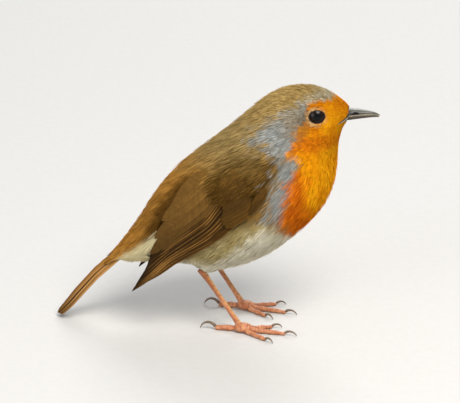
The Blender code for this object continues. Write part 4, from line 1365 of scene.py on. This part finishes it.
# ---- eyes
def ring_faces(rows, columns, turn_over, closed=False):
    """Quads of a grid whose columns run round, and whose rows do too if closed."""
    index = np.arange(rows * columns).reshape(rows, columns)
    after = np.roll(index, -1, 1)
    if closed:
        quads = (index, after, np.roll(after, -1, 0), np.roll(index, -1, 0))
    else:
        quads = (index[:-1], after[:-1], after[1:], index[1:])
    faces = np.stack(quads, -1).reshape(-1, 4)
    return faces[:, ::-1] if turn_over else faces


def turned(count):
    """Angles round a full turn."""
    return np.linspace(0, 2 * math.pi, count, endpoint=False)


def build_eyeball(name, centre, axis, across, up, material):
    """A ball whose value ring is the angle from its axis, as a share of the opening's."""
    rows = 40
    columns = 56
    tilt = np.linspace(0, math.pi, rows)[:, None, None]
    turn = turned(columns)[None, :, None]
    out = axis * np.cos(tilt) + (across * np.cos(turn) + up * np.sin(turn)) * np.sin(tilt)
    points = centre + out * EYE_RADIUS * (1 + EYE_BULGE * peak(tilt, 0, EYE_BULGE_WIDTH))
    ring = np.repeat(tilt / math.asin(EYE_OPENING / EYE_RADIUS), columns)
    faces = ring_faces(rows, columns, centre[1] > 0)
    mesh = new_mesh("eyeball_" + name, points.reshape(-1, 3), faces, ring=ring)
    new_piece("eyeball_" + name, mesh, material, ["eye_" + name])


def build_eyelid(name, centre, axis, across, up, material):
    """A wrinkled ring round the eye's opening."""
    rows = 12
    columns = 64
    angle = turned(columns)[None, :, None]
    section = turned(rows)[:, None, None]
    away = across * np.cos(angle) + up * np.sin(angle)
    wave = np.cos(angle * 2)
    radius = EYE_OPENING * (1 + EYE_LONG * wave)
    middle = centre + axis * (np.sqrt(EYE_RADIUS ** 2 - radius ** 2) + LID_LIFT) + away * radius
    wrinkle = LID_WRINKLE * np.sin(angle * LID_WRINKLES) * np.sin(section * 2 + 1)
    thick = LID_THICK * (1 + LID_VARY * wave) * (1 + wrinkle)
    points = middle + (away * np.cos(section) + axis * np.sin(section)) * thick
    faces = ring_faces(rows, columns, centre[1] < 0, closed=True)
    mesh = new_mesh("eyelid_" + name, points.reshape(-1, 3), faces)
    new_piece("eyelid_" + name, mesh, material)


def build_eyes():
    ball = eye_material()
    lid = lid_material()
    for name, side in SIDES:
        centre = EYE_CENTRE * (1, side, 1)
        axis = unit(EYE_AXIS * (1, side, 1))
        across = unit(np.cross(axis, (0, 0, 1)))
        up = np.cross(across, axis)
        build_eyeball(name, centre, axis, across, up, ball)
        build_eyelid(name, centre, axis, across, up, lid)


# ---- bill
def build_bill(material):
    for half in ("upper", "lower"):
        mesh = joined_surface((f"bill_{half}",), *BILL_MESH)
        points = read_points(mesh) + BILL_SWELL * read_normals(mesh)
        move_points(mesh, points)
        values = dict.fromkeys(("edge", "slit", "low", "ridge"), np.zeros(len(points)))
        x = points[:, 0]
        if half == "upper":
            slit = np.linalg.norm((points - own_side(NOSTRIL, points)) / NOSTRIL_SIZE, axis=1)
            values["edge"] = smooth(0.45, 0.15, points[:, 2] - follow(BILL_CUT, x)) * smooth(46.5, 49.0, x)
            # The nostril is painted near black, as painted shade in its opening
            values["slit"] = smooth(0.95, 0.55, slit)
            # Painted highlight on the top of the upper half, where it faces up
            values["ridge"] = smooth(0.72, 0.97, read_normals(mesh)[:, 2])
        else:
            # Darker back from the tip: partly its own dark colour, partly painted shade under the upper half
            values["low"] = smooth(58.5, 54.0, x)
        finish_mesh(mesh, values)
        new_piece(f"beak_{half}", mesh, material, [f"bill_{half}"])


def build_gape(surface, material):
    """The soft line of the mouth that runs back from the bill into the feathers."""
    rows = 28
    columns = 12
    share = np.linspace(0, 1, rows)
    x, z = (np.interp(share, np.linspace(0, 1, len(GAPE)), line) for line in np.transpose(GAPE))
    turn = turned(columns)[:, None]
    tip = np.sqrt(np.clip(1 - (1 - share * 1.04) ** 6, 0, 1))
    height = (mix(*GAPE_HEIGHT, share) * tip)[:, None, None]
    bulge = (mix(*GAPE_BULGE, share) * tip)[:, None, None]
    level = np.tile(np.sin(turn).ravel(), rows)
    for name, side in SIDES:
        hits = [surface.tree.ray_cast((a, side * 14.0, b), (0, -side, 0))[0] for a, b in zip(x, z)]
        y = [abs(hit[1]) if hit else 2.0 for hit in hits]
        y = np.maximum(np.convolve(np.pad(y, 3, "edge"), np.ones(7) / 7, "valid"), 2.0)
        middle = np.stack((x, side * (y - GAPE_SINK), z), 1)[:, None]
        points = middle + np.array((0.35, side, 0)) * np.cos(turn) * bulge
        points[..., 2] += (np.sin(turn) * height)[..., 0]
        faces = ring_faces(rows, columns, side > 0)
        # The mouth's line is pale on its lower side and painted near black on its upper side, as painted
        # shade in the slit
        mesh = new_mesh(
            f"gape_{name}", points.reshape(-1, 3), faces, edge=smooth(0.1, -0.3, level),
            slit=smooth(0.0, 0.4, level) * 0.8, low=0 * level, ridge=0 * level,
        )
        new_piece(f"gape_{name}", mesh, material)


# ---- legs
def leg_relief(points, normals, heel, ankle, hub):
    """Raises plates and knuckles on a leg and cuts grooves between them: new points, and values."""
    length = np.linalg.norm(ankle - heel)
    shank = (ankle - heel) / length
    along = (points - heel) @ shank
    off = np.linalg.norm(points - heel - along[:, None] * shank, axis=1)
    on_shank = (off < SHANK_RADIUS) & (along < length - 1.0) & (points[:, 2] > SHANK_LOW)
    reach = np.linalg.norm(points - hub, axis=1)
    phase = np.where(on_shank, along / SHANK_PLATE, reach / TOE_PLATE) % 1.0
    front = np.where(on_shank, smooth(-0.1, 0.4, normals[:, 0]), smooth(0.0, 0.4, normals[:, 2]))
    groove = peak(phase, 0.5, 0.11) * front
    knuckles = sum(peak(reach, joint, 0.9) for joint in TOE_JOINTS)
    swell = PLATE_SWELL * (phase - 0.5) * front + np.where(on_shank, 0.0, KNUCKLE_SWELL * knuckles)
    values = {
        "groove": groove,
        "lit": np.where(on_shank, smooth(0.2, 0.9, normals[:, 0]), 0.0),
        "high": smooth(8.0, 19.0, points[:, 2]),
    }
    return points + normals * (swell - GROOVE_DEPTH * groove)[:, None], values


def claw_mesh(names, hub):
    """Claws joined and subdivided, each grown from its tip, furthest from hub, so that its root sinks in."""
    def grow(points):
        tip = points[np.argmax(np.linalg.norm(points - hub, axis=1))]
        return above_floor(tip + (points - tip) * CLAW_GROWTH)

    modifiers = {"WELD": {"merge_threshold": 0.00001}, "SUBSURF": {"levels": 2}}
    return modified_mesh(*join_nodes(names, grow), modifiers)


def above_floor(points):
    return np.maximum(points, (-np.inf, -np.inf, 0.0))


def build_legs():
    skin = leg_material()
    horn = claw_material()
    for name, side in SIDES:
        ankle = ANKLE[name]
        hub = np.array((ankle[0], ankle[1], TOES_MEET))
        nodes = [f"tarsus_{name}", f"foot_{name}"] + [f"toe_{toe}_{name}" for toe in TOES]
        leg = joined_surface(nodes, *LEG_MESH)
        points, values = leg_relief(read_points(leg), read_normals(leg), HEEL * (1, side, 1), ankle, hub)
        move_points(leg, above_floor(points))
        finish_mesh(leg, values)
        new_piece(f"leg_{name}", leg, skin, nodes)
        nodes = [f"claw_{toe}_{name}" for toe in TOES]
        claws = claw_mesh(nodes, hub)
        finish_mesh(claws, {})
        new_piece(f"claws_{name}", claws, horn, nodes)


# ---- stage
def build_floor():
    mesh = bpy.data.meshes.new("floor")
    corners = ((-1, -1), (1, -1), (1, 1), (-1, 1))
    mesh.from_pydata([(x * FLOOR_HALF, y * FLOOR_HALF, 0) for x, y in corners], [], [(0, 1, 2, 3)])
    floor = add_object("floor", mesh)
    mesh.materials.append(floor_material())
    floor.location.z = -FLOOR_DROP


def build_lights():
    world = bpy.data.worlds.new("studio")
    world.use_nodes = True
    sky = world.node_tree.nodes["Background"]
    sky.inputs["Color"].default_value = SKY
    sky.inputs["Strength"].default_value = SKY_STRENGTH
    bpy.context.scene.world = world
    for name, (place, size, power, tint) in LIGHTS.items():
        lamp = bpy.data.lights.new(name, "AREA")
        lamp.shape = "DISK"
        lamp.size = size
        lamp.energy = power
        lamp.color = tint
        holder = add_object(name, lamp)
        holder.location = place
        holder.rotation_euler = (Vector(LIGHT_AIM) - Vector(place)).to_track_quat("-Z", "Y").to_euler()


def build_camera():
    a = math.radians(CAMERA_AZIMUTH)
    e = math.radians(CAMERA_ELEVATION)
    back = Vector((math.sin(a) * math.cos(e), -math.cos(a) * math.cos(e), math.sin(e)))
    data = bpy.data.cameras.new("camera")
    data.lens = CAMERA_LENS
    data.sensor_width = 36.0
    data.clip_start = 0.05
    data.clip_end = 10.0
    camera = add_object("camera", data)
    camera.location = Vector(CAMERA_AIM) + back * CAMERA_DISTANCE
    camera.rotation_mode = "QUATERNION"
    camera.rotation_quaternion = (-back).to_track_quat("-Z", "Y")
    bpy.context.scene.camera = camera
    bpy.context.scene.view_settings.view_transform = "Standard"


def main():
    build_floor()
    build_lights()
    build_camera()
    coat = coat_material()
    outer = outer_surface()
    build_skin(skin_mesh(), coat)
    build_coat(outer, bare_surface(), coat)
    build_wings(Sheet())
    build_tail()
    build_eyes()
    horn = horn_material()
    build_bill(horn)
    build_gape(outer, horn)
    build_legs()


main()
